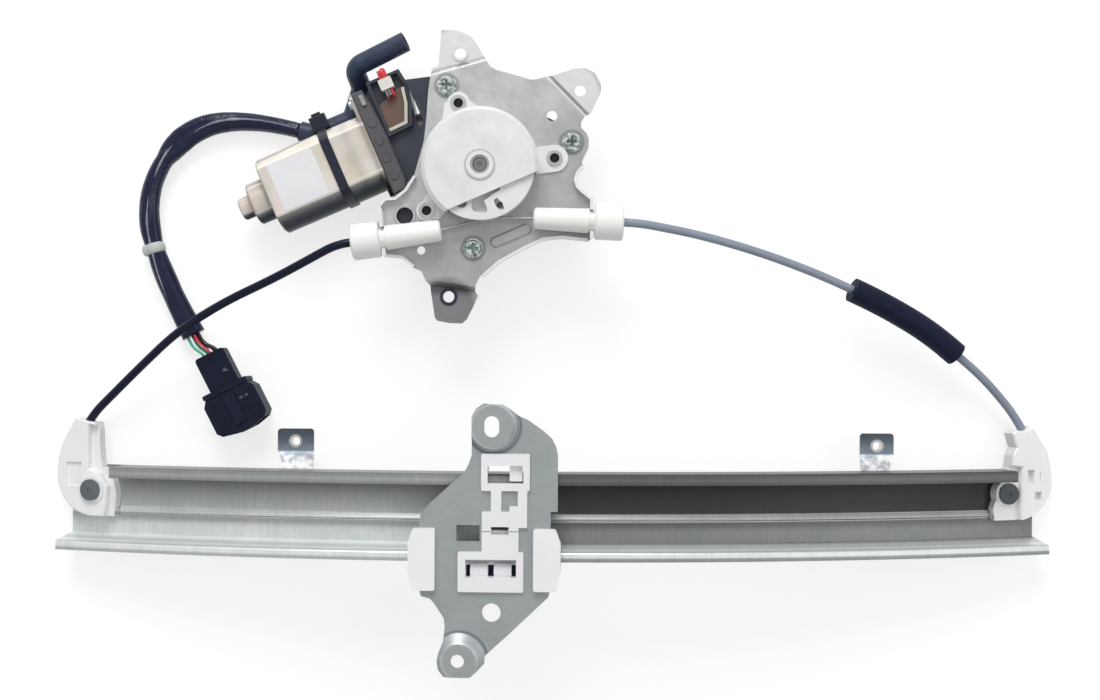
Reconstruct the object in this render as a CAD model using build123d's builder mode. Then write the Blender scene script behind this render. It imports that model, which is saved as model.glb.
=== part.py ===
"""Cable window regulator: motor, drum, two conduits, bowed rail, carrier.

Units are millimetres. The regulator lies on its back on z = 0, the
rail runs along X and bows upward (+Z), and the origin is the middle
of the footprint on that floor.
"""
import os
from math import asin, atan2, cos, degrees, pi, radians, sin, sqrt, tan

from build123d import *

os.makedirs("parts", exist_ok=True)

# ---- driving dimensions -------------------------------------------
R_RAIL = 1000.0          # bow radius of the rail web, upper face
RAIL_HALF = 291.5        # half the chord of the web
SHEET = 1.5              # rail sheet
WIRE_R = 0.75            # cable radius
WIRE_Y = -100.2          # line of the cable over the rail
WIRE_W = 3.6             # cable axis over the web
CARRIER_X = -38.0        # carrier at rest
PLATE_W = 20.0           # underside of the carrier plate over the web
PLATE_T = 2.0            # carrier and base plate sheet
EAR_RISE = 4.0           # raised pads of the carrier plate
BASE_Z = 40.0            # underside of the base plate
EAR_STEP = 4.0           # step of the base plate ears
DRUM = (-42.7, 104.8)    # drum axis
DRUM_R = 31.5            # drum flange radius
DRUM_WIRE_R = 29.5       # cable axis on the drum
LEFT_Z = 48.15           # level where the left cable meets the drum
RIGHT_Z = 51.85          # level where the right cable meets the drum
CABLE_Z = 50.0           # axis of both ferrules
MOTOR_ANGLE = 23.6       # motor axis against X
MOTOR_Z = 20.0           # height of the motor axis
WORM_R = 5.0             # worm pitch radius
WHEEL_TEETH = 52
MODULE = 1.2
WHEEL_R = MODULE * WHEEL_TEETH / 2
CAN_R = 23.6             # motor can radius
CAN_FLAT = 18.0          # half height over the can flats
CONDUIT_R = 2.5
M6_FREE = 3.3            # radius of an M6 clearance hole

# ---- frames --------------------------------------------------------
RAIL_ZC = 2.0 - sqrt(R_RAIL**2 - RAIL_HALF**2)
RAIL_AXIS = Axis((0, 0, RAIL_ZC), (0, 1, 0))


def tangent_plane(x):
    """Plane on the web at x: local X along the rail, Z out of it."""
    t = asin(x / R_RAIL)
    return Plane(
        origin=(x, 0, RAIL_ZC + R_RAIL * cos(t)),
        x_dir=(cos(t), 0, -sin(t)),
        z_dir=(sin(t), 0, cos(t)),
    )


def section_plane(x):
    """Plane across the rail at x: local X is +Y, local Y is outward."""
    t = asin(x / R_RAIL)
    return Plane(
        origin=(x, 0, RAIL_ZC + R_RAIL * cos(t)),
        x_dir=(0, 1, 0),
        z_dir=(cos(t), 0, -sin(t)),
    )


MA = radians(MOTOR_ANGLE)
MOTOR = Plane(
    origin=(DRUM[0], DRUM[1], 0),
    x_dir=(cos(MA), sin(MA), 0),
    z_dir=(0, 0, 1),
)
AXIS_T = WHEEL_R + WORM_R     # motor axis beside the drum axis
SHAFT = Plane(
    origin=MOTOR.from_local_coords((0, AXIS_T, MOTOR_Z)),
    x_dir=(-sin(MA), cos(MA), 0),
    z_dir=(cos(MA), sin(MA), 0),
)
CAR = tangent_plane(CARRIER_X)
LEFT_X = -272.5               # bend centre of the left end guide
RIGHT_X = 275.0               # bend centre of the right end guide
LG = tangent_plane(LEFT_X)
RG = tangent_plane(RIGHT_X)
GUIDE_Y = -77.0
GUIDE_R = 23.2                # radius of the cable bend


def at_z(z):
    """Horizontal plane at a height in the motor's directions."""
    return MOTOR.offset(z)


def save(part, name):
    """Label a finished piece and write its STEP file."""
    part.label = name
    export_step(part, "parts/" + name + ".step")


# ---- guide rail ----------------------------------------------------
# section: (y, height over the web)
RAIL_PROFILE = [
    (-78.0, 18.5), (-72.7, 18.5), (-71.5, 17.3), (-71.5, -0.3),
    (-72.7, -1.5), (-97.2, -1.5), (-99.5, -0.3), (-113.2, -0.3),
    (-114.2, 0.5), (-117.8, 17.0), (-121.5, 17.0), (-121.5, 18.5),
    (-117.0, 18.5), (-116.2, 17.9), (-112.7, 1.2), (-98.9, 1.2),
    (-96.6, 0.0), (-73.4, 0.0), (-73.0, 0.4), (-73.0, 17.0),
    (-78.0, 17.0),
]
RIVET_Y = -86.0
LEFT_RIVET_X = -273.5
RIGHT_RIVET_X = 272.0
RIVET_HOLE = 3.05
half_sweep = degrees(asin(RAIL_HALF / R_RAIL))

with BuildPart() as guide_rail:
    with BuildSketch(section_plane(-RAIL_HALF)):
        Polygon(*RAIL_PROFILE, align=None)
    revolve(axis=RAIL_AXIS, revolution_arc=2 * half_sweep)
    # the upper wall stops short of both end guides
    for plane, mid in ((LG, -5.0), (RG, 17.0)):
        with BuildSketch(plane.offset(0.01)):
            with Locations((mid, -74.7)):
                Rectangle(42, 7)
        extrude(amount=30, mode=Mode.SUBTRACT)
    for plane, x in (
        (LG, LEFT_RIVET_X - LEFT_X), (RG, RIGHT_RIVET_X - RIGHT_X)
    ):
        with BuildSketch(plane.offset(-3)):
            with Locations((x, RIVET_Y)):
                Circle(RIVET_HOLE)
        extrude(amount=6, mode=Mode.SUBTRACT)
save(guide_rail.part, "guide_rail")

# ---- brackets of the rail -------------------------------------------
TAB_Z = 18.0
LEFT_TAB = (-153.5, -56.2)
RIGHT_TAB = (193.5, -57.4)
TAB_T = 2.0
NUT_R = 2.6

for side, (tx, ty), width, lean in (
    ("left", LEFT_TAB, 21.5, 4.0), ("right", RIGHT_TAB, 20.0, -2.0)
):
    foot = tangent_plane(tx + lean).offset(-SHEET - 0.04)
    toe = foot.from_local_coords((0, -74.5, -TAB_T / 2))
    with BuildPart() as bracket:
        with BuildSketch(Plane.XY.offset(TAB_Z)):
            with Locations((tx, ty)):
                RectangleRounded(width, 15.0, 2.0)
        extrude(amount=TAB_T)
        with BuildSketch(Plane(
            origin=(tx, ty - 5.5, TAB_Z + TAB_T / 2),
            x_dir=(1, 0, 0), z_dir=(0, -1, 0),
        )):
            Rectangle(width, TAB_T)
        with BuildSketch(Plane(
            origin=toe, x_dir=foot.x_dir, z_dir=(0, -1, 0),
        )):
            Rectangle(16.0, TAB_T)
        loft()
        with BuildSketch(foot.offset(-TAB_T)):
            with Locations((0, -84.5)):
                Rectangle(16.0, 21.0)
        extrude(amount=TAB_T)
        with BuildSketch(Plane.XY.offset(TAB_Z)):
            with Locations((tx, ty)):
                Circle(4.0)
        extrude(amount=TAB_T, mode=Mode.SUBTRACT)
    save(bracket.part, side + "_bracket")

with BuildPart() as bracket_nuts:
    for spot in (LEFT_TAB, RIGHT_TAB):
        with BuildSketch(Plane.XY.offset(TAB_Z - 5.0)):
            with Locations(spot):
                RegularPolygon(5.8, 6, major_radius=False)
        extrude(amount=5.0)
        with BuildSketch(Plane.XY.offset(TAB_Z)):
            with Locations(spot):
                Circle(4.0)
        extrude(amount=2.5)
        with BuildSketch(Plane.XY.offset(TAB_Z - 5.0)):
            with Locations(spot):
                Circle(NUT_R)
        extrude(amount=7.5, mode=Mode.SUBTRACT)
save(bracket_nuts.part, "bracket_nuts")

# ---- end guides -----------------------------------------------------
GUIDE_LOW = 0.1          # underside over the web
GUIDE_TOP = 10.0
GUIDE_STEP = 5.6         # top of the low flange beside the body
RIM_R = 25.0
BORE_R = 1.1             # cable passage
SOCKET_BACK = 20.0       # conduit end before the bend
ENTRY = 34.0             # slope of the entry run against Y, degrees


def guide_points(side, out):
    """Cable axis in a guide: conduit end, bend start, bend middle,
    bend end and exit. side is -1 for the left guide."""
    a = radians(ENTRY)
    bend = (side * GUIDE_R * cos(a), GUIDE_Y + GUIDE_R * sin(a))
    tip = (bend[0] - side * SOCKET_BACK * sin(a),
           bend[1] + SOCKET_BACK * cos(a))
    m = radians((ENTRY - 90) / 2)
    mid = (side * GUIDE_R * cos(m), GUIDE_Y + GUIDE_R * sin(m))
    return tip, bend, mid, (0, WIRE_Y), (-side * out, WIRE_Y)


LEFT_OUTLINE = [
    (-12.5, -43.2), (-3.5, -45.6), (0.5, -45.6), (1.6, -49.9),
    (1.6, -57.9), (2.6, -68.8), (3.6, -72.8), (9.2, -76.1),
    (11.2, -80.9), (13.1, -88.3), (11.5, -102.0), (0.0, -102.0),
]
LEFT_RETURN = [(-25.0, -77.0), (-24.3, -68.0), (-22.4, -60.4),
               (-18.1, -52.5), (-12.5, -43.2)]
RIGHT_OUTLINE = [
    (12.0, -46.2), (5.5, -48.6), (1.0, -47.7), (-2.0, -49.7),
    (0.0, -56.0), (1.0, -58.2), (-1.6, -62.8), (-2.5, -69.7),
    (-7.0, -80.0), (-12.6, -94.8), (-11.5, -102.0), (0.0, -102.0),
]
RIGHT_RETURN = [(25.0, -77.0), (24.0, -69.0), (21.9, -60.0),
                (18.5, -55.8), (12.0, -46.2)]
# where each body steps down to its flange
LEFT_STEP = [(-3.8, -47.5), (30.0, -47.5), (30.0, -110.0), (4.5, -110.0),
             (8.4, -95.0), (9.2, -84.0), (4.0, -76.5), (-3.8, -73.5)]
RIGHT_STEP = [(4.6, -70.0), (-30.0, -66.0), (-30.0, -110.0),
              (5.0, -110.0), (3.4, -94.5)]
# pockets of each body: middle, width and height, depth
LEFT_POCKETS = (((-13.2, -77.0), (10.4, 14.6), 1.3),)
RIGHT_POCKETS = (
    ((10.4, -75.8), (4.6, 8.4), 3.6), ((15.4, -87.3), (5.0, 5.0), 3.6),
    ((16.8, -76.5), (1.2, 6.4), 0.8),
)

for name, plane, side, outline, back, rivet, step, pockets, seat in (
    ("left_end_guide", LG, -1, LEFT_OUTLINE, LEFT_RETURN,
     LEFT_RIVET_X - LEFT_X, LEFT_STEP, LEFT_POCKETS, GUIDE_TOP),
    ("right_end_guide", RG, 1, RIGHT_OUTLINE, RIGHT_RETURN,
     RIGHT_RIVET_X - RIGHT_X, RIGHT_STEP, RIGHT_POCKETS, GUIDE_STEP),
):
    tip, bend, mid, low, out = guide_points(side, 14.0)
    a = radians(ENTRY)
    with BuildPart() as end_guide:
        with BuildSketch(plane.offset(GUIDE_LOW)):
            with BuildLine():
                Polyline(*outline)
                RadiusArc(outline[-1], back[0], -side * RIM_R)
                Polyline(*back)
            make_face()
        extrude(amount=GUIDE_TOP - GUIDE_LOW)
        # step down to the flange, bevelled rim and pockets
        with BuildSketch(plane.offset(GUIDE_STEP)):
            Polygon(*step, align=None)
        extrude(amount=GUIDE_TOP, mode=Mode.SUBTRACT)
        out_of_web = Axis(plane.origin, plane.z_dir)
        rim = end_guide.faces().sort_by(out_of_web)[-1].edges()
        chamfer(rim.filter_by(GeomType.LINE), 0.8)
        for spot, size, depth in pockets:
            with BuildSketch(plane.offset(GUIDE_TOP - depth)):
                with Locations(spot):
                    Rectangle(*size)
            extrude(amount=5, mode=Mode.SUBTRACT)
        # boss under the head of the rivet
        with BuildSketch(plane.offset(GUIDE_LOW)):
            with Locations((rivet, RIVET_Y)):
                Circle(8.2)
        extrude(amount=seat + 1.0 - GUIDE_LOW)
        with BuildSketch(plane.offset(-1)):
            with Locations((rivet, RIVET_Y)):
                Circle(RIVET_HOLE)
        extrude(amount=14, mode=Mode.SUBTRACT)
        # conduit socket around the entry run
        start = plane.from_local_coords((tip[0], tip[1], WIRE_W))
        ahead = plane.from_local_coords((bend[0], bend[1], WIRE_W))
        with BuildSketch(Plane(origin=start, z_dir=ahead - start)):
            Circle(4.4)
        extrude(amount=9.0)
        mouth = Plane(origin=start, z_dir=ahead - start)
        with BuildSketch(mouth.offset(-9.0)):
            Circle(CONDUIT_R + 0.12)
        extrude(amount=15.0, mode=Mode.SUBTRACT)
        # step over the raised edge of the web
        with BuildSketch(plane.offset(-1.0)):
            with Locations((0, -100.9)):
                Rectangle(60, 10.0)
        extrude(amount=2.5, mode=Mode.SUBTRACT)
        # passage for the cable
        with BuildLine(plane.offset(WIRE_W)) as run:
            Line(tip, bend)
            ThreePointArc(bend, mid, low)
            Line(low, (-side * 40.0, WIRE_Y))
        with BuildSketch(Plane(origin=start, z_dir=ahead - start)):
            Circle(BORE_R)
        sweep(path=run.line, mode=Mode.SUBTRACT)
    save(end_guide.part, name)

    # the bare cable inside that guide
    with BuildPart() as guide_wire:
        with BuildLine(plane.offset(WIRE_W)) as run:
            Line(tip, bend)
            ThreePointArc(bend, mid, low)
            Line(low, out)
        with BuildSketch(Plane(origin=start, z_dir=ahead - start)):
            Circle(WIRE_R)
        sweep(path=run.line)
    save(guide_wire.part, name.replace("end_guide", "guide_wire"))

for name, plane, x, seat in (
    ("left_guide_rivet", LG, LEFT_RIVET_X - LEFT_X, GUIDE_TOP + 1.0),
    ("right_guide_rivet", RG, RIGHT_RIVET_X - RIGHT_X, GUIDE_STEP + 1.0),
):
    with BuildPart() as rivet:
        with BuildSketch(plane.offset(-SHEET)):
            with Locations((x, RIVET_Y)):
                Circle(3.0)
        extrude(amount=seat + SHEET)
        with BuildSketch(plane.offset(seat)):
            with Locations((x, RIVET_Y)):
                Circle(6.3)
        extrude(amount=1.6)
        with BuildSketch(plane.offset(seat + 1.2)):
            with Locations((x, RIVET_Y)):
                Circle(1.3)
        extrude(amount=1.0, mode=Mode.SUBTRACT)
    save(rivet.part, name)

# ---- cables over the rail --------------------------------------------
NIPPLE_AT = (3.4, 10.9)      # start of each nipple along the carrier
NIPPLE_L = 5.0


def arc_of(x):
    """Angle of a station on the rail, degrees."""
    return degrees(asin(x / R_RAIL))


left_from = LEFT_X + 14.0 * 0.962
right_to = RIGHT_X - 14.0 * 0.962
left_to = CARRIER_X + NIPPLE_AT[0] - 0.1
right_from = CARRIER_X + NIPPLE_AT[1] + NIPPLE_L + 0.1
for name, x0, x1 in (
    ("left_rail_wire", left_from, left_to),
    ("right_rail_wire", right_from, right_to),
):
    with BuildPart() as rail_wire:
        with BuildSketch(section_plane(x0)):
            with Locations((WIRE_Y, WIRE_W)):
                Circle(WIRE_R)
        revolve(axis=RAIL_AXIS, revolution_arc=arc_of(x1) - arc_of(x0))
    save(rail_wire.part, name)

# ---- carrier plate -----------------------------------------------------
CARRIER_OUTLINE = [
    (-7.0, -38.6), (-4.4, -34.1), (-0.5, -31.4), (10.5, -32.1),
    (15.0, -34.9), (19.5, -38.4), (24.8, -40.7), (33.9, -47.1),
    (38.4, -51.3), (40.7, -55.8), (41.7, -60.7), (41.7, -92.4),
    (37.7, -92.4), (37.7, -100.3), (37.2, -138.0), (36.6, -140.6),
    (13.8, -162.3), (0.8, -174.2), (0.5, -178.5), (-3.9, -183.0),
    (-7.3, -186.0), (-22.4, -185.8), (-25.5, -181.7),
    (-26.2, -176.9), (-25.2, -172.1), (-22.8, -166.0),
    (-22.0, -158.0), (-22.6, -153.0), (-28.1, -144.8),
    (-30.5, -142.1), (-35.6, -140.7), (-36.3, -138.3),
    (-36.8, -102.2), (-36.5, -96.7), (-35.2, -92.8),
    (-31.0, -88.3), (-17.2, -75.6), (-11.4, -70.7), (-8.8, -65.5),
    (-7.2, -60.9), (-7.0, -46.0),
]
TOP_PAD = (4.4, -44.4)        # oval hole for the glass clip
LOW_PAD = (-14.4, -176.7)     # round hole for the glass clip
PADS = ((TOP_PAD, 12.2, 15.1), (LOW_PAD, 9.8, 15.6))

with BuildPart() as carrier_pads:
    for (px, py), r_top, r_foot in PADS:
        with BuildSketch(CAR.offset(PLATE_W)):
            with Locations((px, py)):
                Circle(r_foot)
        with BuildSketch(CAR.offset(PLATE_W + EAR_RISE)):
            with Locations((px, py)):
                Circle(r_top)
        loft()
        with BuildSketch(CAR.offset(PLATE_W + PLATE_T)):
            with Locations((px, py)):
                Circle(r_foot)
        with BuildSketch(CAR.offset(PLATE_W + PLATE_T + EAR_RISE)):
            with Locations((px, py)):
                Circle(r_top)
        loft()
        with BuildSketch(CAR.offset(PLATE_W)):
            with Locations((px, py)):
                Circle(r_foot)
        extrude(amount=PLATE_T)
    for (px, py), r_top, r_foot in PADS:
        with BuildSketch(CAR.offset(PLATE_W)):
            with Locations((px, py)):
                Circle(r_foot - 1.2)
        with BuildSketch(CAR.offset(PLATE_W + EAR_RISE)):
            with Locations((px, py)):
                Circle(r_top - 1.2)
        loft(mode=Mode.SUBTRACT)
    with BuildSketch(CAR.offset(PLATE_W - 1)):
        Polygon(*CARRIER_OUTLINE, align=None)
    extrude(amount=12, mode=Mode.INTERSECT)

with BuildPart() as carrier_plate:
    with BuildSketch(CAR.offset(PLATE_W)):
        Polygon(*CARRIER_OUTLINE, align=None)
        for (px, py), r_top, r_foot in PADS:
            with Locations((px, py)):
                Circle(r_foot - 0.3, mode=Mode.SUBTRACT)
    extrude(amount=PLATE_T)
    add(carrier_pads.part)
    with BuildSketch(CAR.offset(PLATE_W - 1)):
        with Locations(TOP_PAD):
            SlotOverall(11.9, 8.5, rotation=90)
        with Locations(LOW_PAD):
            Circle(3.8)
        with Locations((4.4, -149.7)):
            Circle(5.3)
        with Locations((-9.0, -104.8)):
            Rectangle(13.2, 9.1)
        with Locations((12.15, -70.65)):
            Rectangle(23.9, 19.3)
        with Locations((4.0, -126.5)):
            Rectangle(34.0, 19.8)
        with Locations((9.3, -100.4)):
            Rectangle(20.8, 12.0)
    extrude(amount=12, mode=Mode.SUBTRACT)
save(carrier_plate.part, "carrier_plate")

# ---- carrier slider ------------------------------------------------------
FACE_W = PLATE_W + PLATE_T     # the slider's frames lie on the plate
FRAME_T = 1.8
HOOK_W = 12.5
LIP_GAP = 19.0                 # underside of the shoes over the lips

with BuildPart() as carrier_slider:
    with BuildSketch(CAR.offset(FACE_W)):
        with Locations((12.15, -70.2)):
            RectangleRounded(27.5, 21.0, 1.0)
        with Locations((6.95, -86.5)):
            Rectangle(5.9, 13.0)
        with Locations((21.85, -90.9)):
            Rectangle(5.3, 21.0)
        with Locations((17.5, -91.0)):
            Rectangle(6.0, 3.4)
        with Locations((11.7, -96.9)):
            RectangleRounded(25.6, 9.0, 0.8)
        with Locations((9.3, -108.0)):
            Rectangle(20.8, 15.0)
        with Locations((3.95, -126.5)):
            RectangleRounded(37.1, 22.8, 1.0)
    extrude(amount=FRAME_T)
    # bodies through the plate
    with BuildSketch(CAR.offset(HOOK_W)):
        with Locations((12.15, -70.65)):
            Rectangle(23.8, 19.2)
        with Locations((4.0, -126.5)):
            Rectangle(33.8, 19.6)
    extrude(amount=FACE_W - HOOK_W)
    with BuildSketch(CAR.offset(1.7)):
        with Locations((9.3, -100.4)):
            Rectangle(20.6, 11.8)
    extrude(amount=FACE_W - 1.7)
    # windows
    with BuildSketch(CAR.offset(0)):
        with Locations((12.15, -71.5)):
            Rectangle(20.3, 10.0)
        with Locations((4.0, -124.7)):
            Rectangle(28.8, 10.3)
    extrude(amount=30, mode=Mode.SUBTRACT)
    # seam and slot of the nipple chamber
    with BuildSketch(CAR.offset(FACE_W)):
        with Locations((9.3, -103.6)):
            Rectangle(20.9, 0.5)
    extrude(amount=FRAME_T, mode=Mode.SUBTRACT)
    with BuildSketch(CAR.offset(1.7)):
        with Locations((9.6, -100.9)):
            Rectangle(13.4, 5.0)
    extrude(amount=FACE_W - 3.7, mode=Mode.SUBTRACT)
    with BuildSketch(CAR.offset(FACE_W - 3)):
        with Locations((9.1, -103.2)):
            Rectangle(10.0, 4.4)
    extrude(amount=6, mode=Mode.SUBTRACT)
    with BuildSketch(CAR.offset(1.7)):
        with Locations((9.3, WIRE_Y)):
            Rectangle(20.7, 2.2)
    extrude(amount=3.0, mode=Mode.SUBTRACT)
    # room for the lips, then the hooks under them
    with BuildSketch(CAR.offset(HOOK_W - 1)):
        with Locations((4.0, -74.7)):
            Rectangle(60, 7.8)
        with Locations((4.0, -116.2)):
            Rectangle(60, 11.8)
    extrude(amount=LIP_GAP - HOOK_W + 1, mode=Mode.SUBTRACT)
    with BuildSketch(CAR.offset(HOOK_W)):
        with Locations((12.15, -77.2)):
            Rectangle(23.8, 5.6)
        with Locations((4.0, -121.0)):
            Rectangle(33.8, 4.8)
    extrude(amount=16.2 - HOOK_W)
    # two barrels in the lower window
    for u in (-2.95, 10.5):
        with BuildSketch(Plane(
            origin=CAR.from_local_coords((u - 5.0, -126.6, 14.5)),
            x_dir=(0, 1, 0), z_dir=CAR.x_dir,
        )):
            Circle(5.1)
        extrude(amount=10.0)
save(carrier_slider.part, "carrier_slider")

# ---- pads on both sides of the carrier -----------------------------------
with BuildPart() as slider_pads:
    for side, inner, outer, edge in (
        (-1, 27.6, 42.8, 36.9), (1, 28.1, 43.5, 37.8)
    ):
        shoulder = outer - 2.8
        mid = side * (inner + shoulder) / 2
        wall = side * (edge + outer) / 2
        with BuildSketch(CAR.offset(FACE_W)) as face:
            Polygon(*[(side * u, y) for u, y in (
                (inner, -101.9), (shoulder, -101.9), (outer, -109.5),
                (outer, -127.0), (shoulder, -137.1), (inner, -137.1),
            )], align=None)
            fillet(face.vertices(), 1.2)
        extrude(amount=3.6)
        with BuildSketch(CAR.offset(HOOK_W)):
            with Locations((wall, -118.4)):
                Rectangle(outer - edge, 16.6)
        extrude(amount=FACE_W - HOOK_W + 3.0)
        with BuildSketch(CAR.offset(HOOK_W)):
            with Locations((mid, -119.4)):
                Rectangle(shoulder - inner, 31.0)
        extrude(amount=PLATE_W - HOOK_W)
    with BuildSketch(CAR.offset(HOOK_W - 1)):
        with Locations((0, -112.6)):
            Rectangle(100, 19.0)
    extrude(amount=LIP_GAP - HOOK_W + 1, mode=Mode.SUBTRACT)
    for u, wide in ((-35.2, 15.2), (35.8, 15.4)):
        with BuildSketch(CAR.offset(HOOK_W)):
            with Locations((u, -120.8)):
                Rectangle(wide, 4.4)
        extrude(amount=15.7 - HOOK_W)
save(slider_pads.part, "slider_pads")

with BuildPart() as cable_nipples:
    for u in NIPPLE_AT:
        with BuildSketch(Plane(
            origin=CAR.from_local_coords((u, WIRE_Y, WIRE_W)),
            x_dir=(0, 1, 0), z_dir=CAR.x_dir,
        )):
            Circle(1.8)
        extrude(amount=NIPPLE_L)
save(cable_nipples.part, "cable_nipples")

# ---- base plate ---------------------------------------------------------
BASE_OUTLINE = [
    (-66.6, 185.8), (-57.6, 185.6), (-53.4, 184.3), (-49.0, 182.0),
    (-45.4, 177.3), (-42.7, 172.9), (-40.1, 167.5), (-37.5, 163.9),
    (-34.3, 162.0), (-18.7, 157.8), (-14.6, 156.4), (-11.0, 156.5),
    (-1.7, 159.4), (11.7, 163.8), (17.7, 164.1), (23.6, 161.2),
    (27.2, 154.0), (26.9, 149.9), (21.4, 138.0), (17.8, 135.6),
    (15.5, 132.0), (15.5, 128.4), (18.5, 125.5), (20.0, 121.9),
    (19.7, 116.6), (16.8, 110.6), (15.9, 108.3), (17.1, 105.3),
    (14.0, 101.5), (12.9, 97.8), (13.9, 94.4), (16.7, 91.6),
    (22.5, 86.9), (22.6, 64.3), (19.2, 62.2), (4.9, 63.7),
    (-6.5, 62.6), (-18.4, 56.8), (-31.4, 49.5), (-40.6, 41.3),
    (-42.5, 42.5), (-45.4, 37.1), (-46.0, 33.0), (-44.2, 30.6),
    (-47.1, 24.1), (-50.7, 16.9), (-53.6, 14.2), (-61.3, 14.5),
    (-67.9, 15.7), (-69.4, 17.4), (-71.5, 30.5), (-72.2, 36.4),
    (-74.6, 38.8), (-77.0, 44.4), (-81.7, 46.4), (-88.3, 51.7),
    (-98.4, 52.6), (-100.9, 77.8), (-102.4, 82.0), (-98.6, 86.7),
    (-92.6, 87.1), (-86.9, 91.7), (-81.7, 99.9), (-76.1, 120.3),
    (-74.7, 133.5), (-73.6, 150.0), (-71.8, 163.4), (-68.1, 164.8),
]
BASE_TOP = BASE_Z + PLATE_T
# each ear: a point of its step line, and the angle toward the ear
EARS = (
    ((-56.5, 162.8), 105.6), ((6.3, 146.8), 44.7), ((-59.0, 37.4), 261.5)
)
EAR_HOLES = ((-55.4, 172.3), (14.9, 150.8), (-61.4, 29.8))
STEP_RUN = 3.0
SCREWS = ((-62.9, 152.6), (10.0, 120.0), (-47.0, 57.9))
TABS = ((2.79, 39.6), (41.5, -11.9), (-38.86, -10.5))
EYELETS = [
    (p.X, p.Y) for p in (
        MOTOR.from_local_coords(Vector(s, t, 0)) for s, t in TABS
    )
]
SIDE_HOLE = (-86.9, 76.7)
LEFT_SLOPE = 7.9             # left ferrule against X, degrees
RIGHT_SLOPE = -2.4           # right ferrule against X
LEFT_TIP = (-65.2, 67.6)     # inner ends of the ferrules
RIGHT_TIP = (-11.9, 74.9)
NECK_R = 6.0
UPSTAND_H = 14.0


def ear_plane(spot, angle):
    """Vertical plane across a step: local X toward the ear, Y up."""
    a = radians(angle)
    return Plane(
        origin=(spot[0], spot[1], 0),
        x_dir=(cos(a), sin(a), 0),
        z_dir=(sin(a), -cos(a), 0),
    )


with BuildPart() as under_main:
    with BuildSketch(Plane.XY.offset(BASE_Z - EAR_STEP - 1)):
        with Locations((-40, 100)):
            Rectangle(160, 200)
    extrude(amount=EAR_STEP + 1)
    for spot, angle in EARS:
        with BuildSketch(ear_plane(spot, angle)):
            Polygon(
                (0, BASE_Z), (STEP_RUN, BASE_Z - EAR_STEP),
                (40, BASE_Z - EAR_STEP), (40, BASE_Z + 1),
                (0, BASE_Z + 1), align=None,
            )
        extrude(amount=21.5, both=True, mode=Mode.SUBTRACT)

with BuildPart() as curbs:
    with BuildSketch(Plane.XY.offset(BASE_Z)):
        with BuildLine():
            Polyline((-81.7, 99.9), (-86.9, 91.7), (-92.6, 87.1),
                     (-98.6, 86.7), (-102.4, 82.0), (-100.5, 76.7))
            Polyline((-98.4, 52.6), (-88.3, 51.7), (-81.7, 46.4))
            Polyline((-40.6, 41.3), (-31.4, 49.5), (-18.4, 56.8),
                     (-6.5, 62.6), (4.9, 63.7), (19.2, 62.2))
            Polyline((22.5, 86.9), (16.7, 91.6), (13.9, 94.4),
                     (12.9, 97.8), (14.0, 101.5), (17.1, 105.3))
        trace(line_width=3.2)
    extrude(amount=PLATE_T + 4.0)
    with BuildSketch(Plane.XY.offset(BASE_Z)):
        Polygon(*BASE_OUTLINE, align=None)
    extrude(amount=10, mode=Mode.INTERSECT)

with BuildPart() as base_plate:
    with BuildSketch(Plane.XY.offset(BASE_Z - EAR_STEP)):
        Polygon(*BASE_OUTLINE, align=None)
    extrude(amount=EAR_STEP + PLATE_T)
    add(under_main.part, mode=Mode.SUBTRACT)
    for spot, angle in EARS:
        with BuildSketch(ear_plane(spot, angle)):
            Polygon(
                (0, BASE_TOP), (STEP_RUN, BASE_TOP - EAR_STEP),
                (40, BASE_TOP - EAR_STEP), (40, BASE_TOP + 1),
                (0, BASE_TOP + 1), align=None,
            )
        extrude(amount=21.5, both=True, mode=Mode.SUBTRACT)
    add(curbs.part)
    # upstands that hold the ferrules by their necks
    with BuildSketch(Plane.XY.offset(BASE_Z)):
        Polygon((20.6, 86.9), (22.5, 86.9), (22.6, 64.3),
                (20.6, 63.2), align=None)
        Polygon((-98.4, 52.6), (-100.9, 77.8), (-98.9, 78.0),
                (-96.4, 52.8), align=None)
    extrude(amount=PLATE_T + UPSTAND_H)
    for tip, slope, side in (
        (LEFT_TIP, LEFT_SLOPE, -1), (RIGHT_TIP, RIGHT_SLOPE, 1)
    ):
        a = radians(slope)
        out = (side * cos(a), side * sin(a), 0)
        saddle = Plane(
            origin=(tip[0] + 30 * out[0], tip[1] + 30 * out[1], CABLE_Z),
            x_dir=(-out[1], out[0], 0), z_dir=out,
        )
        with BuildSketch(saddle):
            Circle(NECK_R + 0.15)
            with Locations((0, 6)):
                Rectangle(2 * NECK_R + 0.3, 12)
        extrude(amount=9, mode=Mode.SUBTRACT)
    # stiffening rib, collars, then every hole
    with BuildSketch(Plane.XY.offset(BASE_TOP)):
        with Locations((-25.0, 65.4)):
            SlotOverall(26.0, 7.0, rotation=23.4)
    extrude(amount=1.4, taper=40)
    with BuildSketch(Plane.XY.offset(BASE_TOP)):
        with Locations(SIDE_HOLE):
            Circle(6.6)
    extrude(amount=0.7, taper=30)
    with BuildSketch(Plane.XY.offset(BASE_TOP - EAR_STEP)):
        with Locations(EAR_HOLES[0], EAR_HOLES[2]):
            Circle(4.7)
    extrude(amount=0.8)
    with BuildSketch(Plane.XY.offset(BASE_Z - EAR_STEP - 1)):
        with Locations(*EAR_HOLES):
            Circle(M6_FREE)
        with Locations(*SCREWS):
            Circle(3.2)
        with Locations(*EYELETS):
            Circle(3.45)
        with Locations(DRUM):
            Circle(7.5)
        with Locations(SIDE_HOLE):
            Circle(4.9)
        with Locations((-77.3, 56.6)):
            Circle(2.4)
        with Locations((-1.5, 135.4)):
            Circle(3.1)
    extrude(amount=12, mode=Mode.SUBTRACT)
save(base_plate.part, "base_plate")

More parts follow.
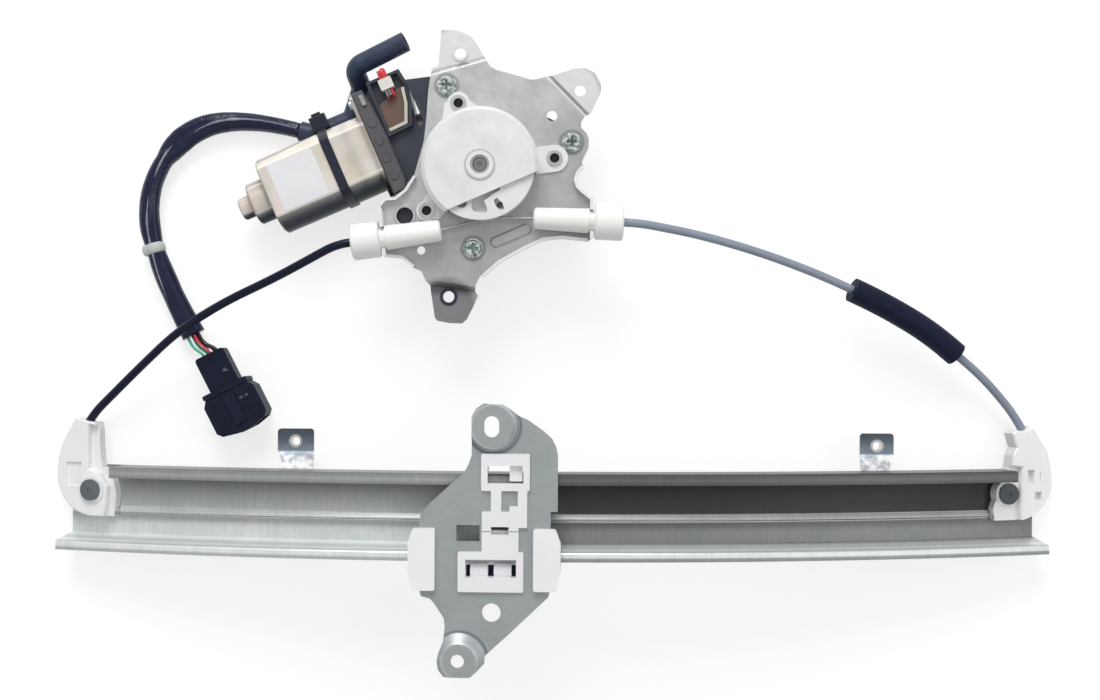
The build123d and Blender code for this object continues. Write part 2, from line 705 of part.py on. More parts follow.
# ---- drum cover ------------------------------------------------------------
COVER_R = 33.6
COVER_IN = 32.1
COVER_TOP = 59.0
CHORD_T = -16.5              # the cover is cut off below this line
TAB_RADII = (6.6, 7.8, 6.0)
# webs of the first and the third tab
WEBS = (
    ((-10.9, 32.6), (-4.4, 42.9), (5.7, 44.0), (14.4, 30.4), (8.0, 18.3)),
    ((-34.6, -1.3), (-44.7, -9.4), (-44.4, -13.3), (-34.3, -18.0),
     (-29.4, -15.9), (-13.2, -5.2)),
)
EYELET_R = 3.4

with BuildPart() as drum_cover:
    with BuildSketch(at_z(BASE_TOP)):
        Circle(COVER_R)
        with Locations((0, CHORD_T - 20)):
            Rectangle(80, 40, mode=Mode.SUBTRACT)
    extrude(amount=COVER_TOP - BASE_TOP)
    rim = drum_cover.edges().filter_by(GeomType.CIRCLE)
    chamfer(rim.sort_by(Axis.Z)[-1], 2.2)
    with BuildSketch(at_z(BASE_TOP)):
        Circle(COVER_IN)
    extrude(amount=COVER_TOP - BASE_TOP - 1.5, mode=Mode.SUBTRACT)
    with BuildSketch(at_z(COVER_TOP - 2)):
        Circle(8.7)
    extrude(amount=2.8)
    with BuildSketch(at_z(BASE_TOP)):
        for (s, t), r in zip(TABS, TAB_RADII):
            with Locations((s, t)):
                Circle(r)
            with Locations((s / 2, t / 2)):
                Rectangle(
                    Vector(s, t).length, 2 * r,
                    rotation=degrees(atan2(t, s)),
                )
        for web in WEBS:
            Polygon(*web, align=None)
        Circle(COVER_IN, mode=Mode.SUBTRACT)
        with Locations((0, CHORD_T - 15)):
            Rectangle(50, 26, mode=Mode.SUBTRACT)
    extrude(amount=1.5)
    with BuildSketch(at_z(BASE_TOP)):
        with Locations(*TABS):
            Circle(EYELET_R + 0.05)
        Circle(4.2)
    extrude(amount=25, mode=Mode.SUBTRACT)
    # recess round the end of the shaft
    with BuildSketch(at_z(COVER_TOP)):
        Circle(5.4)
    extrude(amount=2, mode=Mode.SUBTRACT)
save(drum_cover.part, "drum_cover")

with BuildPart() as cover_rivets:
    for tab in TABS:
        for z, r, h in (
            (BASE_Z - 0.7, 4.5, 0.7), (BASE_Z, EYELET_R, 3.5),
            (BASE_TOP + 1.5, 4.6, 0.9),
        ):
            with BuildSketch(at_z(z)):
                with Locations(tab):
                    Circle(r)
            extrude(amount=h)
        with BuildSketch(at_z(BASE_Z - 1)):
            with Locations(tab):
                Circle(2.8)
        extrude(amount=6, mode=Mode.SUBTRACT)
save(cover_rivets.part, "cover_rivets")

with BuildPart() as motor_screws:
    for spot in SCREWS:
        for z, r, h in (
            (BASE_Z - 12, 2.95, 12 + PLATE_T), (BASE_TOP, 5.7, 1.0),
            (BASE_TOP + 1.0, 4.9, 2.6),
        ):
            with BuildSketch(Plane.XY.offset(z)):
                with Locations(spot):
                    Circle(r)
            extrude(amount=h)
        with BuildSketch(Plane.XY.offset(BASE_TOP + 1.8)):
            with Locations(spot):
                Rectangle(6.2, 1.5)
                Rectangle(1.5, 6.2)
        extrude(amount=3, mode=Mode.SUBTRACT)
    heads = motor_screws.faces().group_by(Axis.Z)[-1]
    chamfer(heads.edges().filter_by(GeomType.CIRCLE), 0.9)
save(motor_screws.part, "motor_screws")

# ---- gearbox ---------------------------------------------------------------
CAVITY_R = WHEEL_R + 1.3
HOUSE_R = CAVITY_R + 5.0
LID_SCREW_R = CAVITY_R + 2.5
DECK_TOP = 38.0
SHAFT_R = 5.0
ARM_R = 3.0                    # armature shaft
RUN_FIT = 0.06                 # radial clearance of the running fits
BOSSES = [
    (p.X, p.Y) for p in (
        MOTOR.to_local_coords(Vector(x, y, 0)) for x, y in SCREWS
    )
]
# deck under the base plate, out to the holes beside the screws
DECK = [
    (-59.0, -12.5), (-54.0, -16.0), (-8.0, -47.5), (-1.0, -52.0),
    (6.5, -49.0), (58.0, -9.0), (60.0, -2.0), (55.5, 3.5), (7.0, 55.5),
    (-6.8, 61.6), (-20.5, 65.5), (-20.0, 39.0), (-38.0, 14.0),
    (-42.0, 4.5), (-52.0, 4.5), (-58.0, -3.0),
]
BRUSH_BLOCK = [
    (-53.0, 11.0), (-24.0, 11.0), (-22.0, 24.0), (-24.0, 42.0),
    (-22.0, 52.5), (-20.0, 64.0), (-21.5, 73.5), (-40.0, 73.5),
    (-53.0, 58.0),
]
BOARD_AREA = [
    (-40.6, 41.2), (-29.0, 41.6), (-24.2, 53.0), (-22.4, 63.6),
    (-27.4, 63.6), (-40.6, 58.4),
]

with BuildPart() as gearbox_housing:
    with BuildSketch(at_z(10)):
        Circle(HOUSE_R)
    extrude(amount=DECK_TOP - 10)
    with BuildSketch(at_z(10)):
        Circle(33.0)
    extrude(amount=BASE_Z - 10)
    with BuildSketch(SHAFT.offset(-53)):
        Circle(11.0)
    extrude(amount=75)
    with BuildSketch(at_z(6)):
        Polygon(*BRUSH_BLOCK, align=None)
    extrude(amount=25)
    with BuildSketch(at_z(30)):
        Polygon(*DECK, align=None)
    extrude(amount=DECK_TOP - 30)
    # rim around the board
    with BuildSketch(at_z(31)):
        Polygon(
            (-42.5, 58.0), (-42.5, 73.5), (-21.5, 73.5), (-20.0, 64.0),
            (-22.0, 52.5), (-27.0, 40.0), (-42.5, 39.2), align=None,
        )
        Polygon(
            (-40.6, 41.2), (-28.6, 41.6), (-23.9, 53.0),
            (-22.0, 64.0), (-23.4, 71.8), (-40.6, 71.8),
            align=None, mode=Mode.SUBTRACT,
        )
    extrude(amount=4.0)
    # flange toward the motor can
    with BuildSketch(SHAFT.offset(-53)):
        with Locations((-3.0, -3.25)):
            Rectangle(54, 28.5)
        with Locations((25.0, 3.75)):
            Rectangle(18, 14.5)
    extrude(amount=5)
    # screw bosses under the base plate
    for s, t in BOSSES:
        with BuildSketch(at_z(24)):
            with Locations((s, t)):
                Circle(6.0)
        extrude(amount=BASE_Z - 24)
        with BuildSketch(at_z(26)):
            with Locations((s / 2, t / 2)):
                Rectangle(
                    Vector(s, t).length, 7.0,
                    rotation=degrees(atan2(t, s)),
                )
        extrude(amount=10)
    with BuildSketch(at_z(BASE_Z - 12)):
        with Locations(*BOSSES):
            Circle(2.95)
    extrude(amount=12, mode=Mode.SUBTRACT)
    # room for the lid, the wheel, the shafts, the worm, the brushes
    with BuildSketch(at_z(0)):
        Circle(HOUSE_R + 0.2)
    extrude(amount=10, mode=Mode.SUBTRACT)
    with BuildSketch(at_z(10)):
        Circle(CAVITY_R)
    extrude(amount=16, mode=Mode.SUBTRACT)
    with BuildSketch(at_z(20)):
        Circle(SHAFT_R + RUN_FIT)
    extrude(amount=20, mode=Mode.SUBTRACT)
    with BuildSketch(SHAFT.offset(-34)):
        Circle(6.6)
    extrude(amount=48.5, mode=Mode.SUBTRACT)
    with BuildSketch(SHAFT.offset(-53)):
        Circle(9.5)
    extrude(amount=19, mode=Mode.SUBTRACT)
    with BuildSketch(SHAFT.offset(14)):
        Circle(ARM_R + RUN_FIT)
    extrude(amount=5, mode=Mode.SUBTRACT)
    # lid screw holes
    with BuildSketch(at_z(10)):
        with PolarLocations(LID_SCREW_R, 4, start_angle=45):
            Circle(1.3)
    extrude(amount=9, mode=Mode.SUBTRACT)
save(gearbox_housing.part, "gearbox_housing")

with BuildPart() as gearbox_lid:
    with BuildSketch(at_z(7)):
        Circle(HOUSE_R)
    extrude(amount=3)
    with BuildSketch(at_z(10)):
        Circle(CAVITY_R)
    extrude(amount=3.5)
    with BuildSketch(at_z(10)):
        Circle(CAVITY_R - 1.6)
        Circle(8.5, mode=Mode.SUBTRACT)
    extrude(amount=3.5, mode=Mode.SUBTRACT)
    with BuildSketch(at_z(9)):
        Circle(SHAFT_R + RUN_FIT)
    extrude(amount=6, mode=Mode.SUBTRACT)
    with BuildSketch(at_z(7)):
        with PolarLocations(LID_SCREW_R, 4, start_angle=45):
            Circle(1.5)
    extrude(amount=3, mode=Mode.SUBTRACT)
save(gearbox_lid.part, "gearbox_lid")

with BuildPart() as lid_screws:
    with BuildSketch(at_z(7)):
        with PolarLocations(LID_SCREW_R, 4, start_angle=45):
            Circle(1.3)
    extrude(amount=11)
    with BuildSketch(at_z(5)):
        with PolarLocations(LID_SCREW_R, 4, start_angle=45):
            Circle(2.6)
    extrude(amount=2)
save(lid_screws.part, "lid_screws")

# worm wheel: teeth meet the thread halfway between two turns at rest
TOOTH_TIP_R = WHEEL_R + 0.9
TOOTH_ROOT_R = WHEEL_R - 1.2
with BuildPart() as worm_wheel:
    with BuildSketch(at_z(MOTOR_Z - 3)):
        Circle(TOOTH_ROOT_R)
        with PolarLocations(0, WHEEL_TEETH):
            Polygon(
                (TOOTH_ROOT_R - 0.5, -0.9), (TOOTH_TIP_R, -0.36),
                (TOOTH_TIP_R, 0.36), (TOOTH_ROOT_R - 0.5, 0.9),
                align=None,
            )
        Circle(SHAFT_R, mode=Mode.SUBTRACT)
    extrude(amount=6)
    with BuildSketch(at_z(MOTOR_Z - 3)):
        Circle(21.0)
        Circle(9.0, mode=Mode.SUBTRACT)
    extrude(amount=1.5, mode=Mode.SUBTRACT)
save(worm_wheel.part, "worm_wheel")

PITCH = pi * MODULE
WORM_TURNS = 6
WORM_CORE = 3.75
with BuildPart() as worm_blank:
    with BuildLine() as thread:
        Helix(PITCH, WORM_TURNS * PITCH, WORM_CORE)
    with BuildSketch(Plane(
        origin=thread.line @ 0, x_dir=(1, 0, 0), z_dir=thread.line % 0,
    )):
        Polygon((-0.3, -0.78), (2.05, -0.38), (2.05, 0.38),
                (-0.3, 0.78), align=None)
    sweep(path=thread.line, is_frenet=True)
    with BuildSketch(Plane.XY.offset(-2)):
        Circle(WORM_CORE)
    extrude(amount=WORM_TURNS * PITCH + 4)
    with BuildSketch(Plane.XY.offset(-2)):
        Circle(ARM_R)
    extrude(amount=WORM_TURNS * PITCH + 4, mode=Mode.SUBTRACT)

with BuildPart() as worm:
    with Locations(SHAFT.offset(-WORM_TURNS * PITCH / 2).location):
        add(worm_blank.part)
save(worm.part, "worm")

with BuildPart() as output_shaft:
    with BuildSketch(at_z(9.7)):
        Circle(SHAFT_R)
    extrude(amount=46.9)
    with BuildSketch(at_z(56.6)):
        Circle(3.7)
    extrude(amount=2.0)
    with BuildSketch(at_z(57.6)):
        Circle(1.6)
    extrude(amount=2, mode=Mode.SUBTRACT)
save(output_shaft.part, "output_shaft")

# ---- motor -------------------------------------------------------------------
CAN_FRONT = -55.0
CAN_BACK = -121.5
CAN_WALL = 1.6
BEARING_CUP = (12.8, 11.8)     # radius and length
END_CUP = (6.8, 8.0)
CAN_SCREWS = ((30.5, 6.0), (-24.5, -14.0))
BUSH_R = 5.2
BUSH_BACK = CAN_BACK - 18.2
with BuildPart() as motor_can:
    with BuildSketch(SHAFT.offset(CAN_BACK)):
        Circle(CAN_R)
        Rectangle(60, 2 * CAN_FLAT, mode=Mode.INTERSECT)
    extrude(amount=CAN_FRONT - CAN_BACK)
    rim = motor_can.faces().sort_by(Axis(
        SHAFT.origin, SHAFT.z_dir))[0].edges()
    chamfer(rim, 1.2)
    with BuildSketch(SHAFT.offset(CAN_FRONT)):
        with Locations((-3.0, 0)):
            RectangleRounded(54, 36, 4.0)
        with Locations((23.5, 7.0)):
            RectangleRounded(22, 22, 4.0)
    extrude(amount=2.0)
    back = CAN_BACK
    for radius, length in (BEARING_CUP, END_CUP):
        back -= length
        with BuildSketch(SHAFT.offset(back)):
            Circle(radius)
        extrude(amount=length)
        rim = motor_can.faces().sort_by(Axis(
            SHAFT.origin, SHAFT.z_dir))[0].edges()
        fillet(rim, 1.8)
    with BuildSketch(SHAFT.offset(CAN_BACK + CAN_WALL)):
        Circle(CAN_R - CAN_WALL)
        Rectangle(60, 2 * (CAN_FLAT - CAN_WALL), mode=Mode.INTERSECT)
    extrude(amount=80, mode=Mode.SUBTRACT)
    with BuildSketch(SHAFT.offset(CAN_BACK - 10.0)):
        Circle(11.0)
    extrude(amount=20, mode=Mode.SUBTRACT)
    with BuildSketch(SHAFT.offset(BUSH_BACK)):
        Circle(BUSH_R)
    extrude(amount=20, mode=Mode.SUBTRACT)
    with BuildSketch(SHAFT.offset(CAN_FRONT)):
        with Locations(*CAN_SCREWS):
            Circle(1.6)
    extrude(amount=3, mode=Mode.SUBTRACT)
save(motor_can.part, "motor_can")

with BuildPart() as can_screws:
    with BuildSketch(SHAFT.offset(CAN_FRONT - 2.2)):
        with Locations(*CAN_SCREWS):
            Circle(2.9)
    extrude(amount=2.2)
    with BuildSketch(SHAFT.offset(CAN_FRONT)):
        with Locations(*CAN_SCREWS):
            Circle(1.5)
    extrude(amount=2.0)
save(can_screws.part, "can_screws")

with BuildPart() as motor_magnets:
    with BuildSketch(SHAFT.offset(-113)):
        Circle(CAN_R - CAN_WALL)
        Circle(15.6, mode=Mode.SUBTRACT)
        Rectangle(60, 28, mode=Mode.INTERSECT)
    extrude(amount=44)
save(motor_magnets.part, "motor_magnets")

with BuildPart() as shaft_bushes:
    with BuildSketch(SHAFT.offset(BUSH_BACK + 1.0)):
        Circle(BUSH_R)
        Circle(ARM_R + RUN_FIT, mode=Mode.SUBTRACT)
    extrude(amount=7)
    with BuildSketch(SHAFT.offset(-33)):
        Circle(6.6)
        Circle(ARM_R + RUN_FIT, mode=Mode.SUBTRACT)
    extrude(amount=7)
save(shaft_bushes.part, "shaft_bushes")

with BuildPart() as armature:
    with BuildSketch(SHAFT.offset(BUSH_BACK + 2.0)):
        Circle(ARM_R)
    extrude(amount=18.0 - BUSH_BACK - 2.0)
    with BuildSketch(SHAFT.offset(-111)):
        Circle(14.8)
        Circle(ARM_R, mode=Mode.SUBTRACT)
        with PolarLocations(12.6, 8):
            Rectangle(5.0, 1.6, mode=Mode.SUBTRACT)
    extrude(amount=40)
    with BuildSketch(SHAFT.offset(-62)):
        Circle(8.0)
    extrude(amount=14)
save(armature.part, "armature")

# ---- fittings on the gearbox ------------------------------------------------
CAP_TOP = 38.5
with BuildPart() as brush_cap:
    with BuildSketch(at_z(31)):
        Polygon((-53.0, 6.3), (-53.0, 70.2), (-46.2, 70.2),
                (-44.2, 58.0), (-43.0, 40.0), (-43.0, 12.0),
                (-45.0, 6.3), align=None)
    extrude(amount=CAP_TOP - 31)
    chamfer(brush_cap.faces().sort_by(Axis.Z)[-1].edges(), 0.9)
    with BuildSketch(at_z(CAP_TOP)):
        with Locations(*[(-48.2, 16.5 + 11.0 * k) for k in range(4)]):
            Circle(2.7)
    extrude(amount=0.5, taper=30)
save(brush_cap.part, "brush_cap")

with BuildPart() as sensor_board:
    with BuildSketch(at_z(31)):
        Polygon(*BOARD_AREA, align=None)
    extrude(amount=1.6)
save(sensor_board.part, "sensor_board")

with BuildPart() as board_frame:
    with BuildSketch(at_z(32.6)):
        with BuildLine():
            Polyline((-40.4, 42.6), (-29.8, 43.0), (-25.4, 53.4),
                     (-23.6, 62.8))
        trace(line_width=1.8)
    extrude(amount=2.2)
save(board_frame.part, "board_frame")

BLOCK_WIRE_Z = 36.2
BLOCK_WIRES = (-33.4, -29.8)
with BuildPart() as wire_block:
    with BuildSketch(at_z(31)):
        with Locations((-31.6, 68.0)):
            RectangleRounded(8.0, 6.6, 0.8)
    extrude(amount=7.0)
    for s in BLOCK_WIRES:
        with BuildSketch(Plane(
            origin=MOTOR.from_local_coords((s, 60, BLOCK_WIRE_Z)),
            z_dir=SHAFT.x_dir,
        )):
            Circle(0.8)
        extrude(amount=16, mode=Mode.SUBTRACT)
save(wire_block.part, "wire_block")

with BuildPart() as block_wires:
    for s in BLOCK_WIRES:
        across = Plane(
            origin=MOTOR.from_local_coords((s, 0, 0)),
            x_dir=SHAFT.x_dir, z_dir=SHAFT.z_dir,
        )
        with BuildLine(across) as run:
            FilletPolyline((60.0, 32.7), (60.0, BLOCK_WIRE_Z),
                           (76.5, BLOCK_WIRE_Z), (76.5, 33.0),
                           radius=1.4)
        with BuildSketch(Plane(
            origin=run.line @ 0, z_dir=run.line % 0,
        )):
            Circle(0.8)
        sweep(path=run.line)
save(block_wires.part, "block_wires")

with BuildPart() as earth_clip:
    with BuildSketch(at_z(CAP_TOP)):
        with Locations((-48.0, 64.0)):
            Rectangle(2.4, 6.4)
    extrude(amount=1.6)
    with BuildSketch(at_z(CAP_TOP + 0.6)):
        with Locations((-48.0, 64.0)):
            Rectangle(3, 2.6)
    extrude(amount=2.0, mode=Mode.SUBTRACT)
save(earth_clip.part, "earth_clip")

# ---- drum ---------------------------------------------------------------
DRUM_LOW = 43.5
DRUM_TOP = 56.6
CORE_R = 28.4
with BuildPart() as cable_drum:
    with BuildSketch(at_z(DRUM_LOW)):
        Circle(CORE_R)
    extrude(amount=DRUM_TOP - DRUM_LOW)
    for z in (DRUM_LOW, DRUM_TOP - 1.7):
        with BuildSketch(at_z(z)):
            Circle(DRUM_R)
        extrude(amount=1.7)
    with BuildSketch(at_z(DRUM_LOW)):
        Circle(SHAFT_R)
    extrude(amount=20, mode=Mode.SUBTRACT)
    # pockets between the arms, then the hook that anchors the cable
    with BuildSketch(Plane.XY.offset(DRUM_TOP - 5)):
        Polygon((-57.5, 84.0), (-55.9, 81.0), (-54.5, 80.3),
                (-51.7, 80.1), (-50.2, 81.7), (-49.6, 86.0), align=None)
        Polygon((-47.4, 88.0), (-47.3, 79.9), (-46.0, 78.1),
                (-43.6, 77.7), (-39.3, 77.5), (-38.3, 79.0),
                (-39.1, 81.8), (-40.4, 84.2), (-35.1, 88.2),
                (-31.3, 90.4), (-31.0, 92.4), align=None)
        Polygon((-34.8, 84.7), (-32.7, 86.1), (-30.4, 83.4),
                (-28.6, 80.6), (-28.9, 79.2), (-31.3, 79.2),
                (-33.4, 81.1), align=None)
    extrude(amount=6, mode=Mode.SUBTRACT)
    with BuildSketch(Plane.XY.offset(DRUM_LOW)):
        with Locations((-31.3, 82.2)):
            Circle(1.9)
    extrude(amount=20, mode=Mode.SUBTRACT)
save(cable_drum.part, "cable_drum")

with BuildPart() as wound_cable:
    for z in (46.3, CABLE_Z, 53.7):
        with BuildSketch(Plane(
            origin=(DRUM[0], DRUM[1], 0), x_dir=(1, 0, 0),
            z_dir=(0, -1, 0),
        )):
            with Locations((CORE_R + WIRE_R + 0.05, z)):
                Circle(WIRE_R)
        revolve(axis=Axis((DRUM[0], DRUM[1], 0), (0, 0, 1)))
save(wound_cable.part, "wound_cable")

# ---- ferrules and their cables ------------------------------------------------
BODY_L = 31.9
NECK_L = 3.4
BARREL_L = 16.6
BARREL_R = 10.7
FERRULE_BORE = 1.3


def ferrule_plane(tip, slope, side):
    """Plane at a ferrule's inner end, local Z toward its conduit."""
    a = radians(slope)
    out = (side * cos(a), side * sin(a), 0)
    return Plane(
        origin=(tip[0], tip[1], CABLE_Z),
        x_dir=(0, 0, 1), z_dir=out,
    )


LF = ferrule_plane(LEFT_TIP, LEFT_SLOPE, -1)
RF = ferrule_plane(RIGHT_TIP, RIGHT_SLOPE, 1)
for side, plane in (("left", LF), ("right", RF)):
    with BuildPart() as ferrule_body:
        with BuildSketch(plane):
            Circle(6.2)
        with BuildSketch(plane.offset(BODY_L)):
            Circle(7.2)
        loft()
        with BuildSketch(plane.offset(BODY_L)):
            Circle(NECK_R)
        extrude(amount=NECK_L)
        with BuildSketch(plane):
            Circle(FERRULE_BORE)
        extrude(amount=BODY_L + NECK_L, mode=Mode.SUBTRACT)
        with BuildSketch(plane):
            Circle(2.6)
        extrude(amount=4.0, mode=Mode.SUBTRACT)
        edge = ferrule_body.faces().sort_by(
            Axis(plane.origin, plane.z_dir))[0]
        chamfer(edge.outer_wire().edges(), 1.0)
    save(ferrule_body.part, side + "_ferrule_body")

    with BuildPart() as ferrule_cap:
        with BuildSketch(plane.offset(BODY_L + NECK_L)):
            Circle(BARREL_R)
        extrude(amount=BARREL_L)
        ends = ferrule_cap.edges().filter_by(GeomType.CIRCLE)
        chamfer(ends, 1.0)
        with BuildSketch(plane.offset(BODY_L + NECK_L)):
            Circle(FERRULE_BORE)
        extrude(amount=BARREL_L, mode=Mode.SUBTRACT)
        with BuildSketch(plane.offset(BODY_L + NECK_L + 7.0)):
            Circle(CONDUIT_R + 0.12)
        extrude(amount=BARREL_L - 7.0, mode=Mode.SUBTRACT)
    save(ferrule_cap.part, side + "_ferrule_cap")

# where each cable touches the drum
LEFT_MEET = (-34.5, 76.5, LEFT_Z)
RIGHT_MEET = (-43.1, 75.3, RIGHT_Z)
for name, plane, tip, meet in (
    ("left_entry_wire", LF, LEFT_TIP, LEFT_MEET),
    ("right_entry_wire", RF, RIGHT_TIP, RIGHT_MEET),
):
    with BuildPart() as entry_wire:
        with BuildLine() as run:
            FilletPolyline(
                plane.from_local_coords((0, 0, 12.0)),
                plane.from_local_coords((0, 0, 2.0)),
                meet, radius=20.0,
            )
        with BuildSketch(Plane(
            origin=run.line @ 0, z_dir=run.line % 0,
        )):
            Circle(WIRE_R)
        sweep(path=run.line)
    save(entry_wire.part, name)

# ---- conduits -----------------------------------------------------------------
CONDUIT_IN = 8.4              # start of the conduit inside its barrel
HOLLOW_R = 1.0
LEFT_ROUTE = [
    (-161.9, 40.1, 43.4), (-192.6, 26.1, 38.3), (-221.6, 9.1, 30.1),
    (-246.7, -12.4, 19.8),
]
RIGHT_ROUTE = [
    (85.7, 65.8, 47.0), (122.0, 55.7, 43.1), (156.8, 43.4, 37.9),
    (193.7, 27.2, 31.5), (223.1, 11.1, 24.8), (257.2, -15.9, 17.0),
]


def bend_radii(route):
    """Radius at each corner, as large as its two runs allow."""
    runs = [Vector(*b) - Vector(*a) for a, b in zip(route, route[1:])]
    return [
        0.45 * min(a.length, b.length)
        / tan(radians(a.get_angle(b)) / 2)
        for a, b in zip(runs, runs[1:])
    ]


def conduit_route(ferrule, guide, side, route, leads):
    """Corners of a conduit's axis, from its ferrule to its guide."""
    tip, bend = guide_points(side, 0)[:2]
    start = ferrule.from_local_coords(
        (0, 0, BODY_L + NECK_L + CONDUIT_IN))
    end = guide.from_local_coords((tip[0], tip[1], WIRE_W))
    last = guide.from_local_coords((bend[0], bend[1], WIRE_W))
    back = (last - end).normalized()
    inner = end + back * 5.5
    return [
        start, start + ferrule.z_dir * leads[0],
        *[Vector(*spot) for spot in route],
        inner - back * leads[1], inner,
    ]


left_corners = conduit_route(LF, LG, -1, LEFT_ROUTE, (17.2, 14.7))
right_corners = conduit_route(RF, RG, 1, RIGHT_ROUTE, (18.5, 18.8))
for name, corners in (
    ("left_conduit", left_corners), ("right_conduit", right_corners)
):
    with BuildPart() as conduit:
        with BuildLine() as run:
            FilletPolyline(*corners, radius=bend_radii(corners))
        with BuildSketch(Plane(
            origin=run.line @ 0, z_dir=run.line % 0,
        )):
            Circle(CONDUIT_R)
            Circle(HOLLOW_R, mode=Mode.SUBTRACT)
        sweep(path=run.line)
    save(conduit.part, name)
    print(name, "length", round(run.line.wires()[0].length, 1))

# foam sleeve over the fifth and sixth bends of the right conduit
with BuildPart() as conduit_sleeve:
    with BuildLine() as run:
        FilletPolyline(
            (right_corners[4] + right_corners[5]) / 2,
            right_corners[5], right_corners[6],
            (right_corners[6] + right_corners[7]) / 2,
            radius=bend_radii(right_corners)[4:6],
        )
    with BuildSketch(Plane(
        origin=run.line @ 0, z_dir=run.line % 0,
    )):
        Circle(7.2)
        Circle(CONDUIT_R + 0.02, mode=Mode.SUBTRACT)
    sweep(path=run.line)
save(conduit_sleeve.part, "conduit_sleeve")

# ---- harness held on the gearbox ---------------------------------------------
TUBE_R = 6.0
TIE_S = -78.0                 # the tie on the can
TUBE_T = 62.6                 # tube beside the can
TUBE_Z = 6.3
LOOSE = (-154.0, 130.94, TUBE_Z)  # where the harness lies free
with BuildPart() as harness_tube:
    with BuildLine() as run:
        FilletPolyline(
            (-88.5, 181.5, 26.0),
            (-119.8, 166.5, 22.0),
            MOTOR.from_local_coords((-47.0, 77.0, 9.0)),
            MOTOR.from_local_coords((-60.0, TUBE_T, TUBE_Z)),
            MOTOR.from_local_coords((-84.0, TUBE_T, TUBE_Z)),
            LOOSE,
            radius=7.0,
        )
    with BuildSketch(Plane(origin=run.line @ 0, z_dir=run.line % 0)):
        Circle(TUBE_R)
        Circle(TUBE_R - 1.0, mode=Mode.SUBTRACT)
    sweep(path=run.line)
save(harness_tube.part, "harness_tube")

with BuildPart() as can_tie:
    with BuildSketch(SHAFT.offset(TIE_S - 2.8)):
        Circle(CAN_R + 1.2)
        Rectangle(60, 2 * CAN_FLAT + 2.4, mode=Mode.INTERSECT)
        with Locations((TUBE_T - AXIS_T, TUBE_Z - MOTOR_Z)):
            Circle(TUBE_R + 1.2)
        with Locations((21.0, -8.0)):
            Rectangle(7.0, 6.0)
        with Locations((29.0, -2.0)):
            Rectangle(13.0, 8.0)
        with Locations((TUBE_T - AXIS_T, TUBE_Z - MOTOR_Z)):
            Circle(TUBE_R, mode=Mode.SUBTRACT)
        with Locations((20.0, -MOTOR_Z - 4.85)):
            Rectangle(60.0, 10.0, mode=Mode.SUBTRACT)
    extrude(amount=5.6)
    with BuildSketch(SHAFT.offset(TIE_S - 5.0)):
        with Locations((29.6, -1.6)):
            RectangleRounded(9.0, 7.6, 1.0)
    extrude(amount=10.0)
    with BuildSketch(SHAFT.offset(TIE_S - 4)):
        Circle(CAN_R)
        Rectangle(60, 2 * CAN_FLAT, mode=Mode.INTERSECT)
    extrude(amount=8, mode=Mode.SUBTRACT)
save(can_tie.part, "can_tie")

# ---- loose harness on the floor -------------------------------------------------
ROUTE = [
    LOOSE, (-182.6, 138.4, TUBE_Z),
    (-222.0, 133.0, TUBE_Z), (-247.5, 97.0, TUBE_Z),
    (-242.5, 52.0, TUBE_Z), (-218.0, 7.0, TUBE_Z),
]
print("harness bends", [round(r, 1) for r in bend_radii(ROUTE)])
with BuildPart() as harness_sleeve:
    with BuildLine() as sleeve_run:
        FilletPolyline(*ROUTE, radius=bend_radii(ROUTE))
    with BuildSketch(Plane(
        origin=sleeve_run.line @ 0, z_dir=sleeve_run.line % 0,
    )):
        Circle(TUBE_R)
    sweep(path=sleeve_run.line)
save(harness_sleeve.part, "harness_sleeve")
sleeve_wire = sleeve_run.line.wires()[0]
sleeve_length = sleeve_wire.length
print("harness length", round(sleeve_length, 1), "volume ratio",
      harness_sleeve.part.volume / (pi * TUBE_R**2 * sleeve_length))

RING_AT = 0.715
with BuildPart() as harness_tape:
    with BuildSketch(Plane(
        origin=sleeve_wire @ RING_AT,
        z_dir=sleeve_wire % RING_AT,
    )):
        Circle(TUBE_R + 0.25)
        Circle(TUBE_R + 0.02, mode=Mode.SUBTRACT)
    extrude(amount=2.2, both=True)
save(harness_tape.part, "harness_tape")

